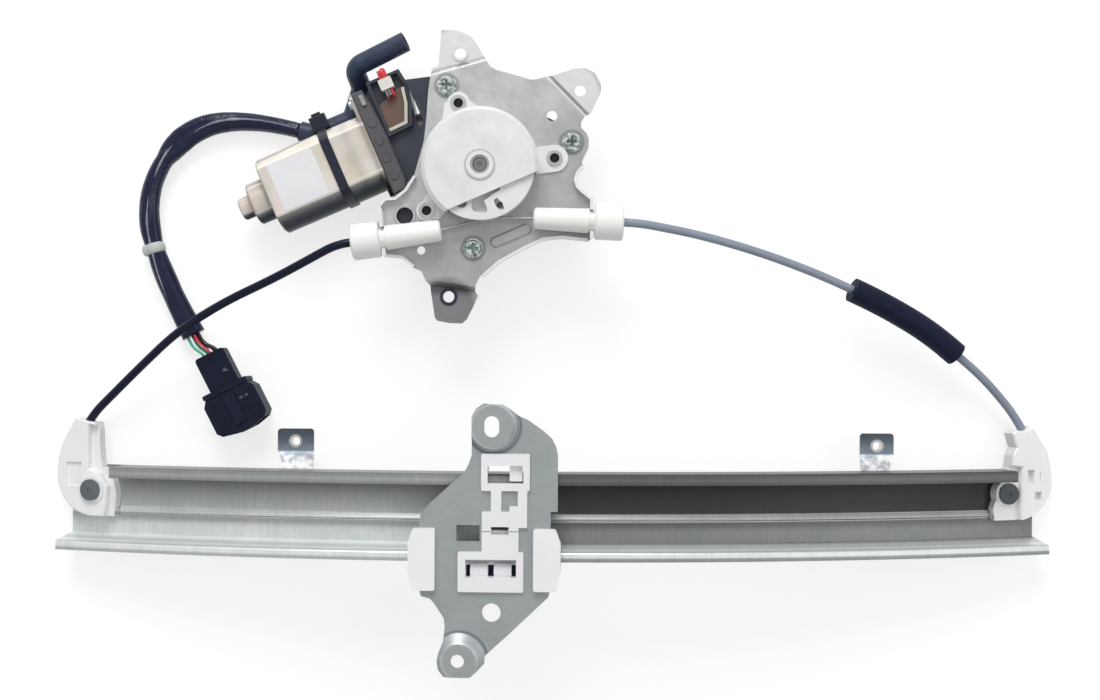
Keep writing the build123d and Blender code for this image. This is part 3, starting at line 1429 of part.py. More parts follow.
PLUG_SLOPE = -63.0
PA = radians(PLUG_SLOPE)
PLUG = Plane(
    origin=(-207.2, -4.2, 0), x_dir=(cos(PA), sin(PA), 0),
    z_dir=(0, 0, 1),
)
NECK_HALF = 9.4
SHELL_HALF = 16.5
SHELL_OUTLINE = [
    (24.0, -13.0), (29.0, -16.5), (46.0, -16.5), (49.0, -13.8),
    (51.0, -5.0), (51.0, 5.0), (49.0, 13.8), (46.0, 16.5),
    (29.0, 16.5), (24.0, 13.0),
]
RIBS = (-12.5, -8.4, 8.4, 12.5)
PLUG_H = 18.0
with BuildPart() as harness_plug:
    with BuildSketch(PLUG.offset(3.0)):
        with Locations((11.5, 0)):
            RectangleRounded(23.0, 2 * NECK_HALF, 2.0)
    extrude(amount=12.0)
    with BuildSketch(PLUG.offset(0.3)):
        Polygon(*SHELL_OUTLINE, align=None)
    extrude(amount=PLUG_H - 0.3)
    with BuildSketch(PLUG.offset(0.3)):
        with Locations((23.5, 0)):
            RectangleRounded(3.0, 2 * SHELL_HALF - 4.0, 1.0)
    extrude(amount=PLUG_H + 0.5)
    mouth = Plane(
        origin=PLUG.from_local_coords((52.0, 0, PLUG_H / 2 + 0.2)),
        x_dir=PLUG.y_dir, z_dir=-PLUG.x_dir,
    )
    with BuildSketch(mouth):
        RectangleRounded(2 * SHELL_HALF - 5, PLUG_H - 5, 1.5)
    extrude(amount=23.0, mode=Mode.SUBTRACT)
    inlet = Plane(
        origin=PLUG.from_local_coords((0, 0, 9.0)),
        x_dir=PLUG.y_dir, z_dir=PLUG.x_dir,
    )
    with BuildSketch(inlet):
        RectangleRounded(13.0, 8.0, 2.0)
    extrude(amount=10.0, mode=Mode.SUBTRACT)
    # latch tongue on the upper face
    with BuildSketch(PLUG.offset(PLUG_H)):
        with Locations((36.0, 0)):
            Rectangle(20.0, 7.0)
    extrude(amount=1.6)
    # ribs along the shell
    with BuildSketch(PLUG.offset(PLUG_H)):
        with Locations(*[(38.0, y) for y in RIBS]):
            Rectangle(19.0, 1.3)
    extrude(amount=0.8)
save(harness_plug.part, "harness_plug")

with BuildPart() as plug_terminals:
    floor = Plane(
        origin=PLUG.from_local_coords((29.0, 0, PLUG_H / 2 + 0.2)),
        x_dir=PLUG.y_dir, z_dir=PLUG.x_dir,
    )
    with BuildSketch(floor):
        with GridLocations(6.0, 5.0, 4, 2):
            Rectangle(2.2, 0.8)
    extrude(amount=7.0)
save(plug_terminals.part, "plug_terminals")

WIRE_END = sleeve_wire @ 1 + (sleeve_wire % 1) * 0.15
for name, lanes in (
    ("red_wires", ((-4.6, 1.8, -3.8), (1.0, 3.2, 0.6))),
    ("green_wires", ((-1.8, -2.4, -1.6), (3.6, -1.0, 3.0))),
    ("white_wire", ((4.2, 2.6, 5.0),)),
):
    with BuildPart() as strands:
        for a, lift, b in lanes:
            first = WIRE_END + PLUG.y_dir * (a * 0.8) + Vector(
                0, 0, lift * 0.8)
            last = PLUG.from_local_coords((6.0, b, 9.0 + lift * 0.6))
            lead = (last - first).length / 3
            corners = [
                first, first + (sleeve_wire % 1) * lead,
                last - PLUG.x_dir * lead, last,
            ]
            with BuildLine() as run:
                FilletPolyline(*corners, radius=bend_radii(corners))
            with BuildSketch(Plane(
                origin=run.line @ 0, z_dir=run.line % 0,
            )):
                Circle(0.85)
            sweep(path=run.line)
    save(strands.part, name)
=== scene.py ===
"""Dressing of a left-hand window regulator: finishes, soft pieces, small trim, camera and light."""

from math import asin, cos, exp, pi, radians, remainder, sin, sqrt

import bpy
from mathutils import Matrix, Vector


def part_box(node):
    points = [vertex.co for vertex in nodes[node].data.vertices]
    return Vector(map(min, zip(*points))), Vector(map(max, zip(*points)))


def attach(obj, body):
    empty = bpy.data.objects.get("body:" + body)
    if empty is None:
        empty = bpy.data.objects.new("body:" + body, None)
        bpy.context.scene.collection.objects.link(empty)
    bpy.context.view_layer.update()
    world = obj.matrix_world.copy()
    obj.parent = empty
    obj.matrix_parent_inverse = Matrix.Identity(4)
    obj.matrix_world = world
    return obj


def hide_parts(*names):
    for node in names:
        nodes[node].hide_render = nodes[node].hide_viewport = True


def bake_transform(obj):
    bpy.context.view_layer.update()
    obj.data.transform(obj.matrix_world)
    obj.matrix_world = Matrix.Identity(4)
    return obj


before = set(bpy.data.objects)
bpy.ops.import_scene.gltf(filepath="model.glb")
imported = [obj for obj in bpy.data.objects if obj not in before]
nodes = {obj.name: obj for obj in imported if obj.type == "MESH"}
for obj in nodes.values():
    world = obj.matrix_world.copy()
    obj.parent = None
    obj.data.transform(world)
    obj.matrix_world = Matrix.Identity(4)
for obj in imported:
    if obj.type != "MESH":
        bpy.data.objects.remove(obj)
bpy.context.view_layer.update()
scene = bpy.context.scene
scene.view_settings.view_transform = "Standard"

MM = 0.001
RAIL_R = 1.0                 # bow of the guide rail
RAIL_END_X = 0.2915          # ends of the bow, and the height of its web there
RAIL_END_Z = 0.002
RAIL_CENTRE_Z = RAIL_END_Z - sqrt(RAIL_R**2 - RAIL_END_X**2)
CARRIER_X = -0.038           # place of the carrier at rest
WIRE_OFFSET = 0.0036         # wires above the rail's web
WIRE_Y = -0.1002
WIRE_RADIUS = 0.00075
WIRE_STEPS = 90
DRUM = Vector((-0.0427, 0.1048, 0.0))
MOTOR_ANGLE = radians(23.6)
SCREWS = ((-0.0629, 0.1526), (0.0100, 0.1200), (-0.0470, 0.0579))   # on the base plate
SCREW_RECESS_Z = 0.04395     # floor of the drive recess of those screws

# numbers of the sockets that have no name of their own
OBJECT_SPACE = 3             # output of the texture coordinates
SHINY_RAY, THROUGH_RAY = 3, 6
MIX_ONE, MIX_OTHER, MIX_COLOUR = 6, 7, 2


def motor_point(s, t, z):
    """Row frame point of motor coordinates: s along the motor axis, t across it."""
    a = MOTOR_ANGLE
    return DRUM + Vector((s * cos(a) - t * sin(a), s * sin(a) + t * cos(a), z))


# ---- shader arithmetic -----------------------------------------------------
class Value:
    """A shader output that takes part in plain arithmetic."""

    def __init__(self, finish, socket):
        self.finish = finish
        self.socket = socket

    def maths(self, operation, *terms):
        return self.finish.node(
            "ShaderNodeMath", {"operation": operation}, dict(enumerate(terms))
        )

    def __add__(self, other):
        return self.maths("ADD", self, other)

    __radd__ = __add__

    def __mul__(self, other):
        return self.maths("MULTIPLY", self, other)

    __rmul__ = __mul__

    def __sub__(self, other):
        return self.maths("SUBTRACT", self, other)

    def __rsub__(self, other):
        return self.maths("SUBTRACT", other, self)

    def __truediv__(self, other):
        return self.maths("DIVIDE", self, other)

    def clamp(self):
        return self.finish.node(
            "ShaderNodeClamp", {}, {"Value": self, "Min": 0.0, "Max": 1.0}
        )

    def above(self, low, gain):
        """0 up to a value, then rising by the gain for each unit, and held to 1."""
        return ((self - low) * gain).clamp()

    def below(self, high, gain):
        """0 down to a value, then rising by the gain for each unit, and held to 1."""
        return ((high - self) * gain).clamp()


class Finish:
    """One material. Constants go on the shader's own sockets."""

    def __init__(self, name, **constants):
        self.material = bpy.data.materials.new(name)
        self.material.use_nodes = True
        self.tree = self.material.node_tree
        self.shader = self.tree.nodes["Principled BSDF"]
        self.set(**constants)

    def node(self, kind, settings=None, values=None, out=0):
        """Adds a node: settings first, then the values or links of its sockets."""
        made = self.tree.nodes.new(kind)
        for key, value in (settings or {}).items():
            if key == "stops":
                ramp = made.color_ramp.elements
                while len(ramp) < len(value):
                    ramp.new(0.5)
                for stop, (place, colour) in zip(ramp, value):
                    stop.position = place
                    stop.color = rgba(colour)
            else:
                setattr(made, key, value)
        for key, value in (values or {}).items():
            self.feed(made.inputs[key], value)
        return Value(self, made.outputs[out])

    def feed(self, socket, value):
        """Links an output to a socket, or sets the socket's own value."""
        if isinstance(value, Value):
            self.tree.links.new(value.socket, socket)
        else:
            socket.default_value = value

    def set(self, **values):
        """Feeds the shader and gives the material: Base_Color is Base Color."""
        for key, value in values.items():
            self.feed(self.shader.inputs[key.replace("_", " ")], value)
        return self.material

    def place(self):
        """Coordinates of the row frame, in metres."""
        return self.node("ShaderNodeTexCoord", out=OBJECT_SPACE)

    def stretched(self, scale, turn=0.0):
        """Coordinates scaled along each axis, after a turn about the vertical."""
        return self.node(
            "ShaderNodeMapping", {},
            {"Vector": self.place(), "Scale": scale, "Rotation": (0, 0, turn)},
        )

    def noise(self, scale, vector=None, detail=3.0, rough=0.5):
        """Soft noise; the scale is in cycles for each metre."""
        return self.node(
            "ShaderNodeTexNoise", {},
            {
                "Vector": vector or self.place(), "Scale": scale,
                "Detail": detail, "Roughness": rough,
            },
        )

    def axis(self, index):
        """One coordinate of the row frame: 0, 1 or 2."""
        return self.node("ShaderNodeSeparateXYZ", {}, {0: self.place()}, out=index)

    def across(self, direction, origin):
        """Distance of a point from an origin, measured along a direction."""
        offset = self.node(
            "ShaderNodeVectorMath", {"operation": "SUBTRACT"},
            {0: self.place(), 1: origin})
        return self.node(
            "ShaderNodeVectorMath", {"operation": "DOT_PRODUCT"},
            {0: offset, 1: direction}, out=1)

    def reach(self, spot):
        """Distance in plan from a spot (x, y)."""
        flat = self.node(
            "ShaderNodeVectorMath", {"operation": "MULTIPLY"},
            {0: self.place(), 1: (1.0, 1.0, 0.0)})
        return self.node(
            "ShaderNodeVectorMath", {"operation": "DISTANCE"},
            {0: flat, 1: (*spot, 0.0)}, out=1)

    def near(self, spot, inner, outer):
        """1 within the inner distance of a spot, falling to 0 at the outer one."""
        return self.reach(spot).below(outer, 1.0 / (outer - inner))

    def ring(self, spot, radius, width):
        """1 on a circle round a spot, falling to 0 a width away from it."""
        away = self.reach(spot) - radius
        return (1.0 - away * away * (1.0 / width**2)).clamp()

    def band(self, value, low, high, soft):
        """1 between two values, with soft edges."""
        return value.above(low, 1.0 / soft) * value.below(high, 1.0 / soft)

    def eased(self, value):
        """A value held to 0..1 with a soft start and end."""
        held = value.clamp()
        return held * held * (3.0 - 2.0 * held)

    def ramp(self, factor, *stops):
        """A grey or a colour for each place of a factor, joined by straight lines."""
        return self.node("ShaderNodeValToRGB", {"stops": stops}, {0: factor})

    def mix(self, factor, one, other, how="MIX"):
        """Colours from one to the other as factor grows."""
        return self.node(
            "ShaderNodeMix", {"data_type": "RGBA", "blend_type": how},
            {0: factor, MIX_ONE: colour_of(one), MIX_OTHER: colour_of(other)},
            out=MIX_COLOUR)

    def times(self, one, other):
        """Two colours multiplied."""
        return self.mix(1.0, one, other, "MULTIPLY")

    def bump(self, height, strength, distance):
        """A normal that follows a height."""
        return self.node(
            "ShaderNodeBump", {},
            {"Strength": strength, "Distance": distance, "Height": height},
        )


def rgba(colour):
    """A grey or a colour as four numbers."""
    if isinstance(colour, (int, float)):
        colour = (colour,) * 3
    return (*colour, 1.0)


def colour_of(value):
    """A shader output as it is, or a plain grey or colour as four numbers."""
    return value if isinstance(value, Value) else rgba(value)


# ---- finishes --------------------------------------------------------------
# painted light and shade across the rail, from the low lip to the upper flange: painted shadow
# under the upper lip, painted highlights on the step, the lit wall and the lips
RAIL_PAINTED_LIGHT = (
    (0.0, 0.50), (0.04, 0.60), (0.060, 0.98), (0.10, 1.0), (0.118, 0.66),
    (0.135, 0.95), (0.150, 0.66), (0.176, 1.0), (0.20, 0.86), (0.30, 0.88),
    (0.425, 0.58), (0.438, 1.0), (0.512, 1.0), (0.524, 0.76), (0.70, 0.50),
    (0.84, 0.28), (0.872, 0.10), (0.882, 0.26), (0.90, 0.34), (0.94, 0.46),
    (0.98, 0.34), (1.0, 0.22))
# painted light of a tab, from its foot to its top: a painted highlight at the bend, painted shade
# growing toward the top
TAB_PAINTED_LIGHT = (
    (0.0, 0.62), (0.30, 0.70), (0.40, 1.0), (0.455, 1.0), (0.49, 0.40), (0.75, 0.20),
    (1.0, 0.10))
# pads on the carrier: centre, radius of the foot and of the top
CARRIER_PADS = (
    ((-0.0337, -0.0444), 0.0151, 0.0122), ((-0.0524, -0.1767), 0.0156, 0.0098))
# stepped ears of the base plate: place on the fold, way the ear points, size
PLATE_EARS = (((-0.0565, 0.1628), 105.6, 0.024), ((0.0063, 0.1468), 44.7, 0.021))
LOW_EAR, LOW_EAR_HOLE = (-0.0625, 0.0235), (-0.0614, 0.0298)
# painted shade on the can, from its upper side down; painted light and shade from its end to its
# flange
CAN_PAINTED_SHADE = (
    (0.0, 1.0), (0.50, 1.0), (0.62, 0.80), (0.70, 0.42), (0.80, 0.16), (0.90, 0.06),
    (1.0, 0.02))
CAN_PAINTED_LIGHT_ALONG = (
    (0.0, 0.60), (0.03, 0.95), (0.085, 0.80), (0.10, 0.42), (0.125, 0.95), (0.20, 0.80),
    (0.232, 0.42), (0.25, 0.92), (0.28, 1.0), (0.78, 1.0), (0.88, 0.78), (0.935, 1.0),
    (0.975, 0.92), (1.0, 0.55))
CAN_BLUSH = ((0.36, (0.97, 0.93, 0.80)), (0.50, (1.0, 1.0, 1.0)), (0.62, (1.0, 0.94, 0.93)))
# the can gets narrower in two steps: where, and by how much
CAN_RADIUS = 0.0236
CAN_STEPS = ((-0.1214, 0.0112), (-0.1331, 0.0058))


def rail_steel():
    """Galvanised rail with painted light and shade: painted shadow in the channel, painted
    highlights on its edges and step, painted shade over its right half.
    """
    f = Finish("rail_galvanised", Metallic=0.3)
    cloud = f.noise(60.0, detail=5.0, rough=0.6)
    fine = f.noise(26.0, f.stretched((16, 2.0, 14)), detail=4.0, rough=0.65)
    speck = f.noise(900.0, detail=2.0)
    tone = ((cloud * 0.45 + fine * 0.55 - 0.32) * 2.6).clamp()
    y = f.axis(1)
    # painted light and shade across the rail, by height across it
    painted_light_across = f.ramp((y + 0.122) * 20.0, *RAIL_PAINTED_LIGHT)
    right = f.eased((f.axis(0) + 0.065) * 13.0)
    far = f.axis(0).above(0.02, 4.0)
    above_wall = y.above(-0.1142, 900.0)
    channel = f.band(y, -0.0985, -0.0780, 0.0012)
    low_lip = y.below(-0.1188, 1500.0)
    line = f.band(y, -0.1003, -0.0960, 0.0005)
    # painted shade: the right half of the rail darker, in the channel and on the walls and lips,
    # less on the step's painted highlight
    shade = 1.0 - right * (1.0 - line * 0.62) * (
        above_wall * 0.65 + channel * (far * 0.05 + 0.25) + low_lip * 0.38)
    coat = f.times(f.mix(tone, (0.74, 0.805, 0.81), (1.0, 1.0, 0.99)), painted_light_across)
    return f.set(
        Base_Color=f.times(coat, f.mix(shade, 0.0, 1.0)),
        Roughness=(fine * 0.22 + speck * 0.08 + 0.20).clamp(),
        Normal=f.bump(fine + speck * 0.3, 0.25, 0.00012),
    )


def bracket_steel():
    """Blue passivated tabs: painted shade darkening them toward the top and a painted highlight at
    the bend; bright and crinkled from the bend down.
    """
    f = Finish("bracket_blue_zinc", Metallic=0.45)
    cloud = f.noise(160.0, detail=5.0, rough=0.65)
    crinkle = f.noise(420.0, detail=3.0)
    # painted light of the tab: a highlight at the bend, shade toward the top
    painted_light_drop = f.ramp((f.axis(1) + 0.0745) * 38.5, *TAB_PAINTED_LIGHT)
    coat = f.mix(cloud.above(0.3, 2.2), (0.48, 0.63, 0.82), (0.78, 0.91, 1.0))
    bright = f.mix(cloud.above(0.40, 6.0), (0.50, 0.53, 0.57), (0.98, 0.99, 1.0))
    bent = f.axis(1).below(-0.0623, 900.0)
    return f.set(
        Base_Color=f.mix(bent, f.times(coat, painted_light_drop), bright),
        Roughness=cloud * 0.3 + 0.18,
        Normal=f.bump(cloud + crinkle * 0.5, 0.4, 0.0003),
    )


def carrier_steel():
    """Plain zinc plate of the carrier, with painted shade in the crease at the foot of both pads
    and a painted highlight round their tops.
    """
    f = Finish("carrier_zinc", Metallic=0.35)
    cloud = f.noise(45.0, detail=5.0, rough=0.6)
    fine = f.noise(26.0, f.stretched((5, 16, 5)), detail=4.0, rough=0.65)
    tone = (cloud * 0.55 + fine * 0.45 - 0.25) * 1.9
    coat = f.mix(tone.clamp(), (0.335, 0.362, 0.372), (0.44, 0.470, 0.476))
    # painted shade round the foot of each pad, painted highlight round its top
    for spot, foot, top in CARRIER_PADS:
        coat = f.mix(f.ring(spot, foot + 0.0004, 0.0012) * 0.55, coat, (0.06, 0.07, 0.10))
        coat = f.mix(f.ring(spot, top + 0.0003, 0.0009) * 0.35, coat, (0.72, 0.74, 0.75))
    return f.set(
        Base_Color=coat,
        Roughness=fine * 0.22 + 0.28,
        Normal=f.bump(fine, 0.25, 0.00012),
    )


def lane_wires(name, split, left, right):
    """Insulation of two wires of one node, either side of a line across the plug's axis."""
    f = Finish(name, Coat_Weight=0.3, Coat_Roughness=0.25)
    tooth = f.noise(900.0, detail=2.0)
    beyond = f.across((cos(pi / 4), sin(pi / 4), 0.0), (split, 0.0, 0.0))
    return f.set(
        Base_Color=f.mix((beyond * 2000.0).clamp(), left, right),
        Roughness=tooth * 0.15 + 0.25,
        Normal=f.bump(tooth, 0.1, 0.00005),
    )


def plate_steel():
    """Zinc coated base plate: bright raised ears with painted shade in their folds and painted
    highlights on their crests and rims, painted shadow round the screw heads, painted shade on the
    lowest ear.
    """
    f = Finish("plate_zinc", Metallic=0.5)
    cloud = f.noise(52.0, detail=5.0, rough=0.6)
    fine = f.noise(230.0, detail=4.0, rough=0.65)
    speck = f.noise(900.0, detail=2.0)
    tone = (cloud * 0.6 + fine * 0.4 - 0.25) * 1.9
    x, y = f.axis(0), f.axis(1)
    # mask of the painted shade on the lowest ear; it also makes that ear rougher
    low_ear_painted_shade = f.near(LOW_EAR, 0.0150, 0.0190)
    low_side = f.near((-0.0500, 0.0450), 0.0100, 0.0520)
    coat = f.mix(tone.clamp(), (0.46, 0.47, 0.465), (0.70, 0.715, 0.705))
    coat = f.mix(low_side * 0.42, coat, (0.30, 0.31, 0.31))
    right = x.above(-0.030, 22.0) * y.below(0.145, 60.0)
    coat = f.mix(right * 0.52, coat, (0.34, 0.35, 0.35))
    for spot, angle, size in PLATE_EARS:
        a = radians(angle)
        beyond = f.across((cos(a), sin(a), 0.0), (*spot, 0.0))
        local = f.near(spot, size - 0.002, size)
        ear = (beyond * 900.0).clamp() * local
        coat = f.mix(ear * 0.75, coat, (0.84, 0.86, 0.85))
        # painted shade in the fold of each ear, and a painted highlight along its crest
        fold = f.band(beyond, 0.0006, 0.0036, 0.0008) * local
        coat = f.mix(fold * 0.78, coat, (0.15, 0.16, 0.16))
        painted_crest_highlight = f.band(beyond, -0.0006, 0.0006, 0.0004) * local
        coat = f.mix(painted_crest_highlight * 0.6, coat, (0.97, 0.98, 0.97))
    # painted shadow round each screw head
    for spot in SCREWS:
        coat = f.mix(f.ring(spot, 0.0066, 0.0012) * 0.5, coat, (0.10, 0.11, 0.12))
    # painted highlight on the rims of the upstanding flanges
    rim_painted_highlight = f.axis(2).above(0.0436, 1500.0)
    # painted shade on the lowest ear, round its hole and along its step
    coat = f.mix(low_ear_painted_shade * 0.66, coat, (0.10, 0.10, 0.105))
    coat = f.mix(f.ring(LOW_EAR_HOLE, 0.0042, 0.0014), coat, (0.02, 0.03, 0.07))
    coat = f.mix(f.band(y, 0.0300, 0.0385, 0.0030) * low_ear_painted_shade * 0.55, coat, (0.03, 0.03, 0.04))
    return f.set(
        Base_Color=f.mix(rim_painted_highlight, coat, (0.93, 0.94, 0.93)),
        Roughness=(fine * 0.22 + speck * 0.08 + low_ear_painted_shade * 0.1 + 0.20).clamp(),
        Normal=f.bump(fine + speck * 0.3, 0.25, 0.00012),
    )


def moulded(name, colour, rough, marks=0.04, coat=0.0, deep=None, **constants):
    """Moulded plastic: fine pebble texture, slight mottling, handling marks."""
    f = Finish(name, **constants)
    f.set(Coat_Weight=coat, Coat_Roughness=0.25)
    pebble = f.noise(1400.0, detail=2.0)
    patch = f.noise(38.0, detail=4.0, rough=0.6)
    shade = deep or tuple(c * (1 - 4 * marks) for c in colour)
    return f.set(
        Base_Color=f.mix(patch.above(0.35, 2.6), shade, colour),
        Roughness=(patch * 0.18 + pebble * 0.1 + (rough - 0.14)).clamp(),
        Normal=f.bump(pebble, 0.12, 0.00008),
    )


def rubber_skin(name, colour, edge, rough, ripple, size, **constants):
    """Soft vinyl or foam: creases along the skin and a dusty bloom."""
    f = Finish(name, **constants)
    crease = f.noise(size, detail=4.0, rough=0.62)
    dust = f.noise(90.0, detail=5.0, rough=0.7)
    return f.set(
        Base_Color=f.mix(dust.above(0.42, 2.2), colour, edge),
        Roughness=(crease * 0.25 + (rough - 0.12)).clamp(),
        Normal=f.bump(crease, ripple, 0.0006),
    )


def stranded(name):
    """Greased wire rope: strands twisted round the wire."""
    f = Finish(name, Metallic=0.9)
    lay = f.node(
        "ShaderNodeTexWave", {"bands_direction": "DIAGONAL"},
        {"Vector": f.place(), "Scale": 420.0, "Distortion": 0.5},
    )
    return f.set(
        Base_Color=f.mix(lay, 0.30, 0.62),
        Roughness=lay * 0.15 + 0.32,
        Normal=f.bump(lay, 0.6, 0.0002),
    )


def drawn_can():
    """Deep drawn can: draw lines along the axis, yellowish zinc, painted shade with a blue cast on
    its lower side, painted light and shade along it, painted highlights on the edges of its flats.
    """
    f = Finish("drawn_can", Specular_IOR_Level=0.12)
    along = f.stretched((3.0, 90.0, 90.0), -MOTOR_ANGLE)
    draw = f.noise(9.0, along, detail=4.0, rough=0.6)
    stain = f.noise(34.0, detail=5.0, rough=0.62)
    tone = f.mix(stain.above(0.38, 2.8), (0.78, 0.735, 0.665), (0.99, 0.955, 0.90))
    tone = f.mix(draw.above(0.42, 0.9), tone, (0.88, 0.80, 0.78))
    low = f.across((sin(MOTOR_ANGLE), -cos(MOTOR_ANGLE), 0.0), motor_point(0, 0.0362, 0))
    s = f.across((cos(MOTOR_ANGLE), sin(MOTOR_ANGLE), 0.0), motor_point(0, 0, 0))
    radius = CAN_RADIUS
    for end, less in CAN_STEPS:
        radius = radius - s.below(end, 4000.0) * less
    down = low / radius
    # painted shade on the lower side of the can with a painted blue cast there; it also takes away
    # the shine
    painted_shade_down = f.ramp(down, *CAN_PAINTED_SHADE)
    painted_blue_shade = f.mix(down.above(0.60, 3.0), (1.0, 1.0, 1.0), (0.42, 0.66, 1.0))
    # painted light and shade along the can, from its end to its flange
    tone = f.times(tone, f.ramp((s + 0.142) * 11.5, *CAN_PAINTED_LIGHT_ALONG))
    tone = f.times(tone, f.ramp(f.noise(21.0), *CAN_BLUSH))
    # painted highlights along the edges of the flats
    painted_crest_highlight = f.band(down, -0.72, -0.60, 0.04) + f.band(down, 0.52, 0.62, 0.03)
    tone = f.mix(painted_crest_highlight.clamp() * 0.55, tone, (1.0, 1.0, 0.96))
    return f.set(
        Base_Color=f.times(f.times(tone, painted_shade_down), painted_blue_shade),
        Metallic=painted_shade_down * 0.42,
        Roughness=draw * 0.14 + stain * 0.12 + 0.10,
        Normal=f.bump(draw, 0.2, 0.0001),
    )


def cast_cover():
    """Pressed cover with a pale, slightly blotched matt coat and painted shade lines round its hub.
    """
    f = Finish("cover_coat", Metallic=0.25)
    blotch = f.noise(70.0, detail=6.0, rough=0.65)
    speck = f.noise(700.0, detail=3.0)
    coat = f.mix(blotch.above(0.35, 2.4), (0.72, 0.74, 0.73), (0.84, 0.855, 0.85))
    hub = (DRUM.x, DRUM.y)
    # painted shade lines round the hub
    coat = f.mix(f.ring(hub, 0.0083, 0.0007) * 0.55, coat, (0.22, 0.23, 0.25))
    coat = f.mix(f.ring(hub, 0.0047, 0.0010) * 0.70, coat, (0.20, 0.20, 0.20))
    return f.set(
        Base_Color=coat,
        Roughness=blotch * 0.15 + speck * 0.12 + 0.32,
        Normal=f.bump(speck + blotch, 0.16, 0.0001),
    )


def bright_zinc():
    """Bright zinc on small screws, a slight green cast, painted shade in the drive recess."""
    f = Finish("bright_zinc", Metallic=0.9)
    tint = f.noise(420.0, detail=3.0)
    floor = 1.0 - f.axis(2).above(SCREW_RECESS_Z, 3000.0)
    inside = 0.0
    for spot in SCREWS:
        inside = f.near(spot, 0.0036, 0.0037) + inside
    bright = f.mix(tint.above(0.42, 5.0), (0.26, 0.34, 0.32), (0.92, 0.97, 0.94))
    # painted shade on the floor of each screw's drive recess
    recess_painted_shade = f.mix(tint, (0.02, 0.04, 0.035), (0.42, 0.52, 0.48))
    return f.set(
        Base_Color=f.mix((floor * inside).clamp(), bright, recess_painted_shade),
        Roughness=tint * 0.2 + 0.16,
        Normal=f.bump(tint, 0.15, 0.0001),
    )


def plain_metal(name, colour, rough):
    """Ground or cast metal with slight tarnish."""
    f = Finish(name, Metallic=0.9)
    tarnish = f.noise(130.0, detail=5.0, rough=0.65)
    return f.set(
        Base_Color=f.mix(tarnish.above(0.36, 2.4), tuple(c * 0.72 for c in colour), colour),
        Roughness=(tarnish * 0.2 + (rough - 0.1)),
        Normal=f.bump(tarnish, 0.2, 0.0001),
    )


def paper_label():
    """White film label with a faint tooth and handling marks."""
    f = Finish("label_film")
    tooth = f.noise(1200.0, detail=2.0)
    marks = f.noise(60.0, detail=5.0, rough=0.7)
    return f.set(
        Base_Color=f.mix(marks.above(0.4, 2.0), (0.74, 0.74, 0.76), (0.83, 0.83, 0.85)),
        Roughness=tooth * 0.15 + 0.35,
        Normal=f.bump(tooth, 0.08, 0.00005),
    )


RED, GREEN, BLACK = (0.72, 0.03, 0.06), (0.07, 0.45, 0.32), (0.010, 0.014, 0.036)

rail_zinc = rail_steel()
bracket_zinc = bracket_steel()
carrier_zinc = carrier_steel()
plate_zinc = plate_steel()
rivet_zinc = plain_metal("rivet_zinc", (0.24, 0.27, 0.29), 0.42)
# a darker copy of rivet_zinc: painted shade on the right rivet, which lies in the shadow of its
# guide
rivet_shade = plain_metal("rivet_painted_shade_zinc", (0.11, 0.125, 0.14), 0.38)
eyelet_zinc = plain_metal("eyelet_zinc", (0.80, 0.81, 0.80), 0.30)
white_acetal = moulded(
    "white_acetal", (0.91, 0.91, 0.915), 0.36, marks=0.012, Subsurface_Weight=0.12,
    Subsurface_Radius=(0.002, 0.002, 0.0024))
cream_acetal = moulded(
    "cream_acetal", (0.92, 0.92, 0.895), 0.32, marks=0.012, coat=0.1,
    Subsurface_Weight=0.12, Subsurface_Radius=(0.002, 0.002, 0.0016))
drum_acetal = moulded("drum_acetal", (0.77, 0.785, 0.775), 0.42, marks=0.03)
slider_acetal = moulded("slider_acetal", (0.87, 0.87, 0.895), 0.38, marks=0.015)
black_nylon = moulded(
    "black_nylon", (0.044, 0.052, 0.074), 0.40, marks=0.08, deep=(0.024, 0.030, 0.048))
grey_black_cap = moulded(
    "cap_nylon", (0.095, 0.098, 0.104), 0.46, marks=0.08, deep=(0.068, 0.070, 0.076))
plug_nylon = moulded(
    "plug_nylon", (0.011, 0.015, 0.038), 0.50, marks=0.1, Specular_IOR_Level=0.18)
board_brown = moulded("board_laminate", (0.20, 0.115, 0.085), 0.5, marks=0.1)
board_cream = moulded("board_edge", (0.66, 0.63, 0.55), 0.45, marks=0.06)
block_white = moulded("block_white", (0.78, 0.77, 0.72), 0.4)
red_skin = moulded("red_insulation", (0.72, 0.03, 0.05), 0.3, coat=0.3)
red_lanes = lane_wires("green_and_red_insulation", -0.2130, GREEN, RED)
green_lanes = lane_wires("green_and_black_insulation", -0.2095, GREEN, BLACK)
black_skin = moulded("black_insulation", (0.012, 0.012, 0.018), 0.3, coat=0.3)
black_jacket = moulded(
    "black_jacket", (0.006, 0.009, 0.028), 0.28, coat=0.05, Specular_IOR_Level=0.2)
grey_jacket = moulded("grey_jacket", (0.27, 0.31, 0.385), 0.36, coat=0.1)
vinyl = rubber_skin(
    "black_vinyl", (0.004, 0.007, 0.032), (0.012, 0.018, 0.062), 0.27, 0.9, 160.0,
    Specular_IOR_Level=0.4)
tube_vinyl = rubber_skin(
    "tube_vinyl", (0.028, 0.038, 0.076), (0.056, 0.070, 0.128), 0.42, 0.5, 160.0,
    Specular_IOR_Level=0.35)
foam = rubber_skin(
    "black_foam", (0.004, 0.007, 0.026), (0.010, 0.014, 0.046), 0.62, 0.7, 420.0,
    Specular_IOR_Level=0.2)
tie_nylon = moulded("tie_nylon", (0.016, 0.020, 0.036), 0.35, Specular_IOR_Level=0.35)
ring_white = moulded("ring_white", (0.56, 0.60, 0.585), 0.42, marks=0.05)
wire_rope = stranded("wire_rope")
ground_steel = plain_metal("ground_steel", (0.66, 0.66, 0.65), 0.28)
shaft_steel = plain_metal("shaft_steel", (0.36, 0.37, 0.37), 0.36)
